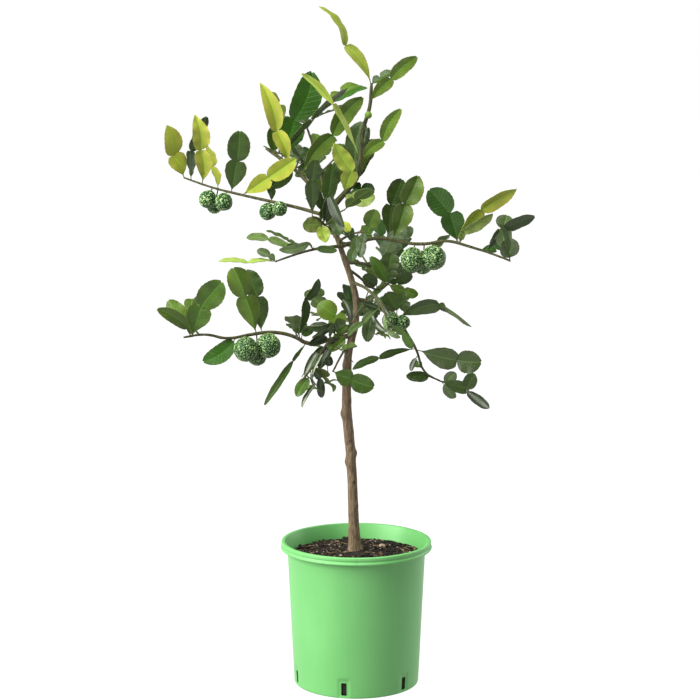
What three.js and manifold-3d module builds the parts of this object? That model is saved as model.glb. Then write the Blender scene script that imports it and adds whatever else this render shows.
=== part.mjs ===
// A makrut lime tree in a nursery pot: a slim leaning trunk, seventeen boughs and their foliage.
// Millimetres, +Z up, +Y away from the front view. The origin is the centre of the pot's flat underside.

import * as THREE from 'three'
import { mergeVertices } from 'three/addons/utils/BufferGeometryUtils.js'
import Module from 'manifold-3d'

const wasm = await Module()
wasm.setup()

// Gap between neighbouring solids, and how near two corners are one
const GAP = 0.3
const WELD = 1e-4

// Pot: a 22 cm nursery container with a rolled lip and six slots at its foot
const POT_HEIGHT = 211
const POT_RIM_RADIUS = 110
const POT_TOP_RADIUS = 101
const POT_BASE_RADIUS = 91
const POT_WALL = 2
const POT_FLOOR = 3
const POT_FOOT_BEVEL = 2
const LIP_DROP = 12
const LIP_ROUNDING = 3
const LIP_TAPER = 1
const SLOT_COUNT = 6
const SLOT_FIRST_AZIMUTH = -101.5
const SLOT_WIDTH = 8
const SLOT_LOW = 4
const SLOT_HIGH = 23
const SLOT_CUT = 12
const POT_SIDES = 36

// Potting mix: its top from the wall inwards, mounded to the trunk, as [radius, height]
const SOIL_EDGE_HEIGHT = 189
const SOIL_TOP_HEIGHT = 196
const SOIL_MOUND = [[62, 190], [34, 193], [13, SOIL_TOP_HEIGHT]]
const SOIL_ROOM = 0.9

// Trunk: height is above the mix, lean and bends are in its slopes, in degrees above level towards +X
const TRUNK = {
  azimuth: 0,
  length: 499,
  slopes: [92, 92, 92, 95, 96, 89, 88, 74, 88, 108, 109, 111],
  radii: [9.6, 7.7, 7.1, 7.0, 7.4, 6.9, 6.5, 5.6, 5.0, 4.5, 4.1, 3.7],
}
const TRUNK_FOOT_X = -2.4
const TRUNK_SIDES = 10
const TRUNK_CUT = 60

// A limb's path has even steps, each at its own slope. The solids of boughs, and of the stems of foliage past
// them, have a step about every LIMB_STEP
const PATH_STEPS = 24
const BOUGH_SIDES = 6
const STEM_SIDES = 4
const LIMB_STEP = 20

// Twigs and leaves
const TWIG_RADIUS = 1.3
const TWIG_SIDES = 3
const TWIG_STEPS = 3
const LEAF_THICKNESS = 1.3
const LEAF_ROOT = 0.5
const PETIOLE_WIDTH = 2

// A makrut leaf is two blades in line: a winged stalk, a joint, and the blade proper. A wing shorter than
// this is left out. Stations: share of the blade's length, share of its width
const SHORTEST_WING = 9
const WING_OF_STALK = 0.9
const WING_OF_BLADE = 1.5
const WING_WIDTH = 0.95
const FULL_WING = 0.7
const WING_STATIONS = [[0.32, 0.7], [0.76, 0.9]]
const BLADE_STATIONS = [[0.26, 0.84], [0.68, 0.9], [1, 0.22]]
const JOINT_WIDTH = 3

// Room that leaves keep from limbs, from other masses' leaves and from their own mass's leaves
const ROOM_TO_LIMB = 5
const ROOM_TO_OTHERS = 13
const ROOM_TO_OWN = 8
const TRUNK_ROOM_RADIUS = 7
const LIMB_ROOM_RADIUS = 2

// Points that stand for a limb or a leaf when room is looked for: [share of the path where they start,
// steps], shares of a leaf's stalk and of its blade, and the share of the blade's width that they lie apart
const TRUNK_SAMPLES = [0, 60]
const STEM_SAMPLES = [0.08, 24]
const TWIG_SAMPLES = [0.3, 5]
const STALK_SAMPLES = [0.25, 0.45, 0.65, 0.85]
const BLADE_SAMPLES = [0.15, 0.35, 0.55, 0.75, 0.95]
const BLADE_SAMPLE_WIDTH = 0.8

// Seen from this point in front, a grown leaf stays where there are leaves or limbs already: at least the
// share of its points is within reach of one of theirs
const FRONT_VIEWER = new THREE.Vector3(-9, -2860, 915)
const COVER_REACH = 10
const COVER_SHARE = 0.85

// Limbs: `from` is the share of the trunk's length where the limb starts. Slopes are degrees above level,
// at even steps. The limb is a bare bough up to the share `bare`, and the stem of its foliage past that.
// leaves: [share of the limb, lean from upright, crook at the joint, degrees to the front, turn,
//   length of the winged stalk, length of the blade, width, how far stalk and blade bulge to the right as a
//   share of their length, twist of the blade]
// fruits: [share of the limb, to the right, below, behind, radius]
// twigs: how many side twigs the rule tries; `droop` is how far their leaves hang
const LIMBS = [
  {
    name: 'leader', from: 1, azimuth: 0, length: 201, slopes: [50, 48, 85, 87, 70, 88],
    radii: [4, 2.4], bare: 0.16, seed: 3, twigs: 0, droop: 0,
    leaves: [
      [0.985, -33, -1, 0, 10, 66, 66, 19, 0.08, 50],
      [0.862, 41, 9, 10, 15, 45, 48, 22, -0.1, 0],
      [0.448, 48, -19, 15, 15, 44, 53, 20, -0.09, 0],
      [0.37, -23, 35, -25, 10, 19, 61, 32, 0, 0],
      [0.452, -26, -19, 20, 65, 94, 64, 20, 0.1, 0],
      [0.18, 18, -50, 20, 10, 37, 50, 26, 0, 0],
      [0.17, 105, -19, 25, 10, 13, 37, 24, 0.05, 0],
      [0.52, 40, -28, -5, 40, 8, 27, 10, 0, 0],
    ],
    fruits: [[0.76, 2, -3, -9, 5.2]],
  },
  {
    name: 'upper_left', from: 1, azimuth: 155, length: 135, slopes: [57, 48, 34, 32],
    radii: [3.5, 2.4], bare: 0.42, seed: 5, twigs: 5, droop: 0,
    leaves: [
      [0.698, -18, 0, 12, 5, 51, 73, 27, 0.1, 0],
      [0.86, 27, -6, -12, 10, 57, 76, 42, 0.04, 0],
      [0.8, 38, 13, -2, 65, 71, 69, 20, -0.06, 0],
      [0.5, 38, 0, 8, 15, 74, 69, 28, -0.05, 0],
      [0.88, 1, -9, -5, 20, 6, 34, 18, 0, 0],
      [0.79, 20, 20, -20, 15, 26, 26, 16, 0, 0],
    ],
    fruits: [],
  },
  {
    name: 'left_high', from: 0.99, azimuth: 165, length: 224, slopes: [15, 11, 11, 12, 18],
    radii: [2.8, 1.3], bare: 0.25, seed: 7, twigs: 0, droop: 0,
    leaves: [
      [1, -25, 16, 15, 35, 37, 46, 33, 0.05, 0],
      [0.95, -1, 26, -12, 60, 42, 56, 26, 0, 0],
      [0.872, 0, -7, 22, 10, 54, 54, 27, 0.06, 0],
      [0.758, -19, 1, -28, 60, 37, 38, 22, 0.05, 0],
      [0.67, 12, -6, 5, 10, 46, 44, 34, 0.03, 0],
      [0.592, 56, -1, 18, 15, 49, 51, 29, 0, 0],
      [0.39, -8, 63, -22, 40, 23, 42, 22, 0, 0],
    ],
    fruits: [
      [0.8, -6, 17, -5, 12.6],
      [0.7, -4, 15, -6, 12.3],
      [0.76, -6, 24, 10, 11.6],
      [0.405, -3, 15, -4, 11.8],
      [0.32, -3, 6, -12, 10.3],
    ],
  },
  {
    name: 'left_mid', from: 0.9, azimuth: 205, length: 102, slopes: [-2, -12, -16],
    radii: [2.2, 1.3], bare: 0.3, seed: 11, twigs: 3, droop: 10,
    leaves: [
      [0.982, -93, 6, 5, 76, 40, 42, 20, 0.03, 0],
      [1, -40, -31, -10, 20, 12, 20, 13, 0, 0],
      [0.72, -15, -10, 20, 20, 4, 16, 14, 0, 0],
      [0.402, -35, -65, 28, 50, 13, 48, 13, -0.1, 0],
      [0.64, -65, -22, -10, 35, 48, 32, 14, 0.04, 0],
      [0.53, -59, -9, -25, 75, 32, 38, 16, 0, 0],
      [0.4, 80, 12, 25, 20, 5, 31, 13, 0, 0],
    ],
    fruits: [],
  },
  {
    name: 'right_high', from: 0.9, azimuth: -12, length: 250, slopes: [16, 10, -14, -3, 13, -15, -16, -20],
    radii: [3, 1.6], bare: 0.24, seed: 13, twigs: 0, droop: 0,
    leaves: [
      [0.312, 18, 6, 12, 5, 56, 45, 36, 0, 0],
      [0.285, 6, 18, -20, 20, 50, 42, 30, 0, 0],
      [0.69, -16, -25, 5, 8, 44, 45, 37, 0, 0],
      [0.678, 37, 22, 5, 30, 58, 58, 26, -0.07, 0],
      [0.7, 14, 42, 22, 25, 19, 52, 22, -0.06, 0],
      [0.86, 33, 36, -8, 45, 35, 54, 22, -0.06, 0],
      [0.97, -3, 20, -15, 15, 42, 21, 28, 0, 0],
      [1, -1, -8, 18, 10, 5, 30, 29, 0, 0],
      [1, -18, 1, 28, 30, 12, 52, 10, 0.04, 0],
    ],
    fruits: [[0.44, -3, 22, -8, 16.7], [0.55, 0, 21, -6, 17], [0.495, -2, 30, 14, 14.2]],
  },
  {
    name: 'left_low', from: 0.635, azimuth: 198, length: 254, slopes: [-7, -15, 31, 11, -6, -9, 17, -7],
    radii: [3.4, 1.6], bare: 0.26, seed: 17, twigs: 4, droop: 0,
    leaves: [
      [0.58, -16, -4, 12, 8, 57, 46, 37, 0, 0],
      [0.55, -8, -15, -20, 20, 53, 43, 32, 0, 0],
      [0.95, 17, 23, 0, 8, 43, 46, 38, 0, 0],
      [0.948, -14, -31, -14, 15, 17, 46, 27, -0.05, 0],
      [0.962, -12, -42, 22, 20, 14, 54, 20, 0.05, 0],
      [0.7, -150, 27, 12, 10, 6, 52, 27, -0.06, 0],
      [0.34, 12, 21, 8, 40, 57, 37, 18, 0.06, 0],
      [0.32, -7, 2, -6, 15, 9, 24, 25, 0, 0],
      [0.28, -145, -1, 10, 35, 32, 75, 13, -0.05, 0],
      [0.31, 8, 52, -8, 15, 8, 20, 13, 0, 0],
    ],
    fruits: [[0.64, 0, 19, -6, 17], [0.51, 0, 18, -8, 17], [0.58, 0, 34, 13, 13.4]],
  },
  {
    name: 'right_low', from: 0.74, azimuth: 20, length: 197, slopes: [-9, -30, -61, -57, -77, -26],
    radii: [2.6, 1.4], bare: 0.29, seed: 19, twigs: 3, droop: 10,
    leaves: [
      [0.378, 69, 56, 12, 25, 64, 57, 29, -0.08, 55],
      [0.36, 0, -31, -5, 5, 9, 30, 28, 0, 0],
      [0.658, 102, -10, 18, 0, 63, 36, 35, 0, 0],
      [0.65, -105, -8, -5, 58, 55, 43, 18, 0.05, 0],
      [0.7, -145, -13, 15, 55, 6, 20, 12, 0, 0],
      [0.91, -90, 4, 10, 25, 5, 33, 17, 0, 0],
      [1, 105, -62, 12, 10, 6, 22, 18, 0, 0],
      [1, 140, 0, 0, 20, 6, 26, 16, 0, 0],
      [0.99, 104, -81, 12, 5, 40, 26, 21, 0, 0],
      [0.98, 113, 18, -12, 40, 47, 43, 20, -0.08, 0],
    ],
    fruits: [[0.3, -2, 12, -12, 11.6], [0.35, 9, 8, -14, 10.4]],
  },
  {
    name: 'right_mid', from: 0.83, azimuth: 35, length: 88, slopes: [-31, -43, -24, 36],
    radii: [2, 1.3], bare: 0.4, seed: 23, twigs: 3, droop: 0,
    leaves: [
      [0.91, 0, -33, -5, 20, 4, 44, 18, 0, 0],
      [0.94, 4, 6, -20, 5, 20, 27, 28, 0, 0],
      [0.95, 73, -3, 5, 10, 11, 26, 19, 0, 0],
      [0.92, 107, -3, 20, 20, 27, 22, 17, 0, 0],
      [0.72, -27, -24, 8, 10, 7, 24, 21, 0, 0],
    ],
    fruits: [],
  },
  {
    name: 'fork_left', from: 0.945, azimuth: 235, length: 60, slopes: [20, 35, 20],
    radii: [2, 1.3], bare: 0.3, seed: 29, twigs: 2, droop: 0,
    leaves: [
      [1, -1, 11, 10, 10, 51, 30, 22, 0, 0],
      [0.4, -60, -30, 30, 10, 6, 32, 24, 0, 0],
      [0.58, -167, -31, 12, 10, 6, 24, 20, 0, 0],
      [0.55, 12, -4, -14, 15, 33, 53, 24, 0, 0],
      [0.62, 10, -28, 26, 30, 20, 34, 14, 0, 0],
      [0.5, 12, 142, 35, 15, 52, 55, 18, 0, 0],
      [0.4, 40, 115, 18, 10, 18, 28, 24, 0, 0],
    ],
    fruits: [],
  },
  {
    name: 'fork_right', from: 0.915, azimuth: -42, length: 54, slopes: [26, 12],
    radii: [1.8, 1.3], bare: 0.35, seed: 31, twigs: 2, droop: 0,
    leaves: [
      [1, 40, -19, 15, 5, 9, 27, 25, 0, 0],
      [1, -170, 2, 8, 25, 14, 24, 15, 0, 0],
      [0.44, -20, -8, -35, 10, 5, 20, 14, 0, 0],
      [0.765, -174, 13, 12, 30, 21, 22, 18, 0.05, 0],
    ],
    fruits: [],
  },
  {
    name: 'front_left', from: 0.655, azimuth: 235, length: 150, slopes: [-5, -20, -45, -30],
    radii: [2.6, 1.3], bare: 0.15, seed: 37, twigs: 0, droop: 35,
    leaves: [
      [0.17, -29, -24, -5, 10, 26, 30, 30, 0, 0],
      [0.26, -16, -104, 28, 40, 20, 40, 13, 0, 0],
      [0.57, -86, -65, 25, 40, 7, 38, 13, 0, 0],
      [0.46, 149, 64, 28, 25, 10, 32, 17, 0, 0],
      [0.76, 166, -57, 0, 20, 4, 25, 14, 0, 0],
      [0.86, -195, 49, 15, 5, 6, 30, 17, 0, 0],
      [0.77, 142, 35, -5, 15, 19, 29, 13, 0, 0],
      [0.8, 162, 51, 12, 50, 22, 36, 10, 0, 0],
      [0.16, 51, 10, 30, 30, 12, 24, 12, 0, 0],
      [0.19, -36, 20, 38, 10, 4, 26, 20, 0, 0],
      [0.29, -38, -55, 0, 50, 20, 26, 11, 0, 0],
      [0.22, -170, 40, 20, 20, 8, 23, 15, 0, 0],
      [0.398, 2, -99, 22, 50, 29, 36, 11, -0.1, 0],
      [0.515, -43, -98, 24, -45, 4, 33, 11, 0.06, 0],
      [0.47, -178, -30, 8, 20, 16, 15, 15, -0.05, 0],
      [0.348, 43, 1, 30, 15, 11, 23, 12, -0.06, 0],
      [0.402, -42, -66, 30, 30, 8, 30, 15, 0.06, 0],
      [0.232, 153, 116, 16, 30, 10, 27, 10, -0.05, 0],
      [0.285, 114, 121, 26, 20, 14, 27, 12, 0.05, 0],
      [0.642, 48, 163, 36, -50, 12, 36, 10, 0.06, 0],
      [0.168, 30, -47, 12, 40, 18, 35, 11, 0.05, 0],
    ],
    fruits: [],
  },
  {
    name: 'front_low', from: 0.62, azimuth: 215, length: 54, slopes: [-48, -58],
    radii: [1.7, 1.3], bare: 0.5, seed: 41, twigs: 0, droop: 20,
    leaves: [
      [0.98, 112, -4, 12, 0, 28, 35, 28, 0.04, 0],
    ],
    fruits: [],
  },
  {
    name: 'front_right', from: 0.79, azimuth: -60, length: 120, slopes: [-5, -25, -45],
    radii: [2.4, 1.3], bare: 0.2, seed: 43, twigs: 0, droop: 40,
    leaves: [
      [0.3, 121, 25, 10, 55, 13, 41, 14, 0, 0],
      [0.602, -161, -9, 15, 10, 27, 34, 20, 0, 0],
      [1, 121, 32, -5, 25, 22, 26, 14, 0, 0],
      [0.7, -134, 64, 15, 40, 5, 25, 11, 0, 0],
      [0.568, -166, -52, 22, 50, 24, 32, 13, 0.05, 0],
      [0.722, -130, 3, 18, 40, 35, 29, 13, 0.05, 0],
      [0.473, -158, -94, 12, 30, 23, 21, 12, -0.06, 0],
      [0.795, 170, -50, 10, 50, 27, 21, 10, -0.08, 0],
    ],
    fruits: [],
  },
  {
    name: 'back_high', from: 0.93, azimuth: 95, length: 190, slopes: [38, 26, 18],
    radii: [2.8, 1.3], bare: 0.34, seed: 47, twigs: 14, droop: 0,
    leaves: [],
    fruits: [],
  },
  {
    name: 'back_top', from: 0.985, azimuth: 118, length: 165, slopes: [66, 62, 50],
    radii: [2.8, 1.3], bare: 0.36, seed: 61, twigs: 14, droop: 0,
    leaves: [],
    fruits: [],
  },
  {
    name: 'back_right', from: 0.85, azimuth: 62, length: 185, slopes: [-6, -16, -10],
    radii: [2.7, 1.3], bare: 0.36, seed: 89, twigs: 14, droop: 5,
    leaves: [],
    fruits: [],
  },
  {
    name: 'back_left', from: 0.66, azimuth: 98, length: 170, slopes: [2, -8, -12],
    radii: [2.7, 1.3], bare: 0.36, seed: 59, twigs: 7, droop: 10,
    leaves: [],
    fruits: [],
  },
]

// How the rule grows a side twig and its leaves. A pair is the range that a draw falls in. Places are shares
// of the twig's own stretch of the limb, spreads are degrees to the side, rises are degrees above level.
const GROWTH = {
  twigPlace: [0.3, 0.7],
  twigSpread: [37, 74],
  twigRise: [9, 35],
  twigLength: [36, 62],
  twigBend: [0, 8, -6],
  leavesPerTwig: 3,
  leafStep: 0.32,
  endLeafSpread: [-5, 5],
  sideLeafSpread: [35, 60],
  leafRise: [-5, 30],
  leafDroop: [-1, 0],
  leafLength: [55, 89],
  leafWidth: [22, 32],
  leafRoll: [-35, 35],
  leafCrook: [-15, 15],
  leafTilt: -0.2,
  stalkShare: 0.48,
}

const PLASTIC = new THREE.MeshStandardMaterial({ color: 0x6fd36f, roughness: 0.45, metalness: 0 })
const MIX = new THREE.MeshStandardMaterial({ color: 0x3a2c24, roughness: 0.95, metalness: 0 })
const BARK = new THREE.MeshStandardMaterial({ color: 0x8a7566, roughness: 0.85, metalness: 0 })
const YOUNG_BARK = new THREE.MeshStandardMaterial({ color: 0x5c6b45, roughness: 0.75, metalness: 0 })
const FOLIAGE = new THREE.MeshStandardMaterial({ color: 0x4b7a35, roughness: 0.5, metalness: 0 })

const UP = new THREE.Vector3(0, 0, 1)
const TO_FRONT = new THREE.Vector3(0, -1, 0)

function radians(degrees) {
  return degrees * Math.PI / 180
}

function direction(azimuth, slope) {
  const a = radians(azimuth)
  const s = radians(slope)
  return new THREE.Vector3(Math.cos(s) * Math.cos(a), Math.cos(s) * Math.sin(a), Math.sin(s))
}

// The direction of a leaf as the front view shows it: lean clockwise from upright, and degrees to the front
function heading(lean, toFront) {
  const a = radians(lean)
  const f = radians(toFront)
  return new THREE.Vector3(Math.cos(f) * Math.sin(a), -Math.sin(f), Math.cos(f) * Math.cos(a))
}

// A value read from a list that is spread evenly over 0 to 1, with straight runs between its middles
function spread(list, share) {
  const place = Math.min(Math.max(share * list.length - 0.5, 0), list.length - 1)
  const low = Math.min(Math.floor(place), Math.max(list.length - 2, 0))
  const high = Math.min(low + 1, list.length - 1)
  return list[low] + (list[high] - list[low]) * (place - low)
}

function pathOf(start, azimuth, length, slopes) {
  const points = [start.clone()]
  for (let i = 0; i < PATH_STEPS; i += 1) {
    const step = direction(azimuth, spread(slopes, (i + 0.5) / PATH_STEPS))
    const last = points[points.length - 1]
    points.push(last.clone().addScaledVector(step, length / PATH_STEPS))
  }
  return points
}

function pointAt(path, share) {
  const place = Math.min(Math.max(share, 0), 1) * PATH_STEPS
  const low = Math.min(Math.floor(place), PATH_STEPS - 1)
  return path[low].clone().lerp(path[low + 1], place - low)
}

function tangentAt(path, share) {
  const place = Math.min(Math.max(share, 0), 1) * PATH_STEPS
  const low = Math.min(Math.floor(place), PATH_STEPS - 1)
  return path[low + 1].clone().sub(path[low]).normalize()
}

// The same draws from a range, in the same order, each time
function drawsFrom(seed) {
  let state = seed
  return ([low, high]) => {
    state = (state * 1664525 + 1013904223) % 4294967296
    return low + (high - low) * state / 4294967296
  }
}

// Solids

function solidOf(geometry) {
  geometry.deleteAttribute('normal')
  geometry.deleteAttribute('uv')
  const merged = mergeVertices(geometry, WELD)
  return new wasm.Manifold(new wasm.Mesh({
    numProp: 3,
    vertProperties: new Float32Array(merged.attributes.position.array),
    triVerts: new Uint32Array(merged.index.array),
  }))
}

// The largest body of a solid; a cut can leave a loose scrap beside it
function mainBody(solid) {
  const bodies = solid.decompose()
  bodies.sort((a, b) => b.volume() - a.volume())
  return bodies[0]
}

function meshOf(name, solid, material) {
  const mesh = solid.getMesh()
  const geometry = new THREE.BufferGeometry()
  geometry.setAttribute('position', new THREE.BufferAttribute(mesh.vertProperties, mesh.numProp))
  geometry.setIndex(new THREE.BufferAttribute(mesh.triVerts, 1))
  geometry.computeVertexNormals()
  const object = new THREE.Mesh(geometry, material)
  object.name = name
  return object
}

// A cylinder whose rings are laid by place(share, x, z), with x and z on the unit circle
function laidCylinder(sides, steps, place) {
  const geometry = new THREE.CylinderGeometry(1, 1, 1, sides, steps)
  const position = geometry.attributes.position
  for (let i = 0; i < position.count; i += 1) {
    const p = place(position.getY(i) + 0.5, position.getX(i), position.getZ(i))
    position.setXYZ(i, p.x, p.y, p.z)
  }
  return geometry
}

// A limb between two shares of its path, grown outwards by `extra`
function limbSolid(path, azimuth, low, high, radiusAt, sides, steps, extra = 0) {
  const across = direction(azimuth + 90, 0)
  return solidOf(laidCylinder(sides, steps, (share, x, z) => {
    const s = low + (high - low) * share
    const up = across.clone().cross(tangentAt(path, s))
    const r = radiusAt(s) + extra
    return pointAt(path, s).addScaledVector(across, x * r).addScaledVector(up, z * r)
  }))
}

function rodSolid(start, end, radius) {
  const along = end.clone().sub(start).normalize()
  const side = new THREE.Vector3(1, 0, 0)
  const across = side.addScaledVector(along, -side.dot(along)).normalize()
  const up = across.clone().cross(along)
  return solidOf(laidCylinder(TWIG_SIDES, 1, (share, x, z) => (
    start.clone().lerp(end, share).addScaledVector(across, x * radius).addScaledVector(up, z * radius))))
}

// Lathe outlines run outwards along the foot and back in along the top
function latheSolid(outline, sides) {
  const points = outline.map(([r, z]) => new THREE.Vector2(r, z))
  const geometry = new THREE.LatheGeometry(points, sides)
  geometry.rotateX(Math.PI / 2)
  return solidOf(withoutFlatTriangles(geometry))
}

// A lathe makes triangles with no area where its outline meets the axis
function withoutFlatTriangles(geometry) {
  geometry.deleteAttribute('normal')
  geometry.deleteAttribute('uv')
  const merged = mergeVertices(geometry, WELD)
  const index = merged.index.array
  const kept = []
  for (let i = 0; i < index.length; i += 3) {
    const [a, b, c] = index.slice(i, i + 3)
    if (a !== b && b !== c && c !== a) {
      kept.push(a, b, c)
    }
  }
  merged.setIndex(kept)
  return merged
}

// Pot

function potWallRadius(z) {
  return POT_BASE_RADIUS + (POT_TOP_RADIUS - POT_BASE_RADIUS) * z / POT_HEIGHT
}

function makePot() {
  const lipFoot = POT_HEIGHT - LIP_DROP
  const outline = [
    [0, 0],
    [POT_BASE_RADIUS - POT_FOOT_BEVEL, 0],
    [POT_BASE_RADIUS, POT_FOOT_BEVEL],
    [potWallRadius(lipFoot), lipFoot],
    [POT_RIM_RADIUS - LIP_ROUNDING, lipFoot],
    [POT_RIM_RADIUS, lipFoot + LIP_ROUNDING],
    [POT_RIM_RADIUS - LIP_TAPER, POT_HEIGHT - LIP_ROUNDING],
    [POT_RIM_RADIUS - LIP_ROUNDING, POT_HEIGHT],
    [POT_RIM_RADIUS - 2 * LIP_ROUNDING, POT_HEIGHT],
    [potWallRadius(lipFoot) - POT_WALL, lipFoot],
    [POT_BASE_RADIUS - POT_WALL, POT_FLOOR],
    [0, POT_FLOOR],
  ]
  let pot = latheSolid(outline, POT_SIDES)
  for (let i = 0; i < SLOT_COUNT; i += 1) {
    const azimuth = SLOT_FIRST_AZIMUTH + i * 360 / SLOT_COUNT
    const slot = new THREE.BoxGeometry(SLOT_CUT, SLOT_WIDTH, SLOT_HIGH - SLOT_LOW)
    slot.translate(POT_BASE_RADIUS, 0, (SLOT_LOW + SLOT_HIGH) / 2)
    slot.rotateZ(radians(azimuth))
    pot = pot.subtract(solidOf(slot))
  }
  return pot
}

function makeSoil() {
  const inner = (z) => potWallRadius(z) - POT_WALL - SOIL_ROOM
  const foot = POT_FLOOR + GAP
  const outline = [
    [0, foot],
    [inner(foot), foot],
    [inner(SOIL_EDGE_HEIGHT), SOIL_EDGE_HEIGHT],
    ...SOIL_MOUND,
    [0, SOIL_TOP_HEIGHT],
  ]
  return latheSolid(outline, POT_SIDES)
}

// Leaves

// A leaf's outline down its length, in millimetres from its foot: [distance, width]. The wing of the stalk
// is about as long as the blade, and the rest of the stalk is bare.
function leafOutline(leaf) {
  const wing = Math.min(leaf.stalk * WING_OF_STALK, leaf.blade * WING_OF_BLADE)
  const wingWidth = leaf.width * Math.min(WING_WIDTH, wing / (leaf.blade * FULL_WING))
  const outline = [[-LEAF_ROOT, PETIOLE_WIDTH]]
  if (wing > SHORTEST_WING) {
    outline.push([leaf.stalk - wing, PETIOLE_WIDTH])
    for (const [at, share] of WING_STATIONS) {
      outline.push([leaf.stalk - wing + wing * at, wingWidth * share])
    }
  }
  outline.push([leaf.stalk, JOINT_WIDTH])
  for (const [at, share] of BLADE_STATIONS) {
    outline.push([leaf.stalk + leaf.blade * at, leaf.width * share])
  }
  return outline
}

// How far a part of a leaf bulges at a distance from its start
function bulge(leaf, distance, length) {
  const share = Math.min(Math.max(distance / length, 0), 1)
  return leaf.bow * 4 * share * (1 - share) * length
}

// The leaf's middle line, the way it runs and its upper face, at a distance from its foot
function leafFrame(leaf, distance) {
  const onStalk = Math.min(distance, leaf.stalk)
  const onBlade = Math.max(distance - leaf.stalk, 0)
  const isBlade = distance > leaf.stalk
  const point = leaf.foot.clone().addScaledVector(leaf.along, onStalk).addScaledVector(leaf.beyond, onBlade)
  const along = isBlade ? leaf.beyond : leaf.along
  const face = leaf.face.clone().addScaledVector(along, -leaf.face.dot(along)).normalize()
  const across = face.clone().cross(along)
  const aside = bulge(leaf, onStalk, leaf.stalk) + bulge(leaf, onBlade, leaf.blade)
  point.addScaledVector(across, -aside)
  if (isBlade) {
    face.applyAxisAngle(along, leaf.twist)
    across.applyAxisAngle(along, leaf.twist)
  }
  return { point, face, across }
}

function leafSamples(leaf) {
  const samples = []
  const places = []
  for (const share of STALK_SAMPLES) {
    places.push([share * leaf.stalk, share * Math.min(1, leaf.stalk / leaf.blade)])
  }
  for (const share of BLADE_SAMPLES) {
    places.push([leaf.stalk + share * leaf.blade, BLADE_SAMPLE_WIDTH])
  }
  for (const [distance, widthShare] of places) {
    const { point, across } = leafFrame(leaf, distance)
    const half = leaf.width * widthShare / 2
    samples.push(point)
    samples.push(point.clone().addScaledVector(across, half))
    samples.push(point.clone().addScaledVector(across, -half))
  }
  return samples
}

function leafSolid(leaf) {
  const outline = leafOutline(leaf)
  const steps = outline.length - 1
  // A three-sided cylinder has one corner at z = 1, the keel, and two at z = -0.5, the edges
  const cornerX = Math.sin(radians(120))
  return solidOf(laidCylinder(3, steps, (share, x, z) => {
    const [distance, width] = outline[Math.round(share * steps)]
    const { point, face, across } = leafFrame(leaf, distance)
    const below = LEAF_THICKNESS * (z + 0.5) / 1.5
    return point.addScaledVector(across, x / cornerX * width / 2).addScaledVector(face, -below)
  }))
}

function leafFromRow(limb, row) {
  const [at, lean, crook, toFront, turn, stalk, blade, width, bow, twist] = row
  const along = heading(lean, toFront)
  const beyond = heading(lean + crook, toFront)
  const face = TO_FRONT.clone().addScaledVector(along, -TO_FRONT.dot(along)).normalize()
  face.applyAxisAngle(along, radians(turn))
  const foot = pointAt(limb.path, at)
  return { foot, along, beyond, face, stalk, blade, width, bow, twist: radians(twist) }
}

// Room: what is already there, as points with a radius, which is none on leaves

const taken = []

function take(owner, points, radius) {
  const entry = { owner, points, radius }
  taken.push(entry)
  return entry
}

function hasRoom(points, owner, skip) {
  for (const other of taken) {
    if (other === skip) {
      continue
    }
    let room = other.owner === owner ? ROOM_TO_OWN : ROOM_TO_OTHERS
    if (other.radius > 0) {
      room = ROOM_TO_LIMB + other.radius
    }
    for (const p of points) {
      for (const q of other.points) {
        if (p.distanceToSquared(q) < room * room) {
          return false
        }
      }
    }
  }
  return true
}

// Where a point is seen from in front, on the upright plane through the trunk
function frontPlace(point) {
  const share = FRONT_VIEWER.y / (FRONT_VIEWER.y - point.y)
  const x = FRONT_VIEWER.x + (point.x - FRONT_VIEWER.x) * share
  const z = FRONT_VIEWER.z + (point.z - FRONT_VIEWER.z) * share
  return new THREE.Vector2(x, z)
}

// Whether leaves and limbs that are there before the twigs grow are in front of or behind these points
function isCovered(points, cover) {
  let covered = 0
  for (const point of points) {
    const place = frontPlace(point)
    if (cover.some((other) => place.distanceTo(other) < COVER_REACH)) {
      covered += 1
    }
  }
  return covered >= COVER_SHARE * points.length
}

// Even points from a share of a path to its end
function limbSamples(path, [low, steps]) {
  const samples = []
  for (let i = 0; i <= steps; i += 1) {
    samples.push(pointAt(path, low + (1 - low) * i / steps))
  }
  return samples
}

// Fruits hang on a short stalk under their limb
function fruitSolids(limb) {
  const solids = []
  for (const [at, right, below, behind, radius] of limb.fruits) {
    const hold = pointAt(limb.path, at)
    const centre = hold.clone().add(new THREE.Vector3(right, behind, -below))
    const fruit = new THREE.IcosahedronGeometry(radius, 1)
    fruit.translate(centre.x, centre.y, centre.z)
    solids.push(solidOf(fruit))
    solids.push(rodSolid(hold, centre, TWIG_RADIUS))
    take(limb.name, [centre], radius)
  }
  return solids
}

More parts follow.
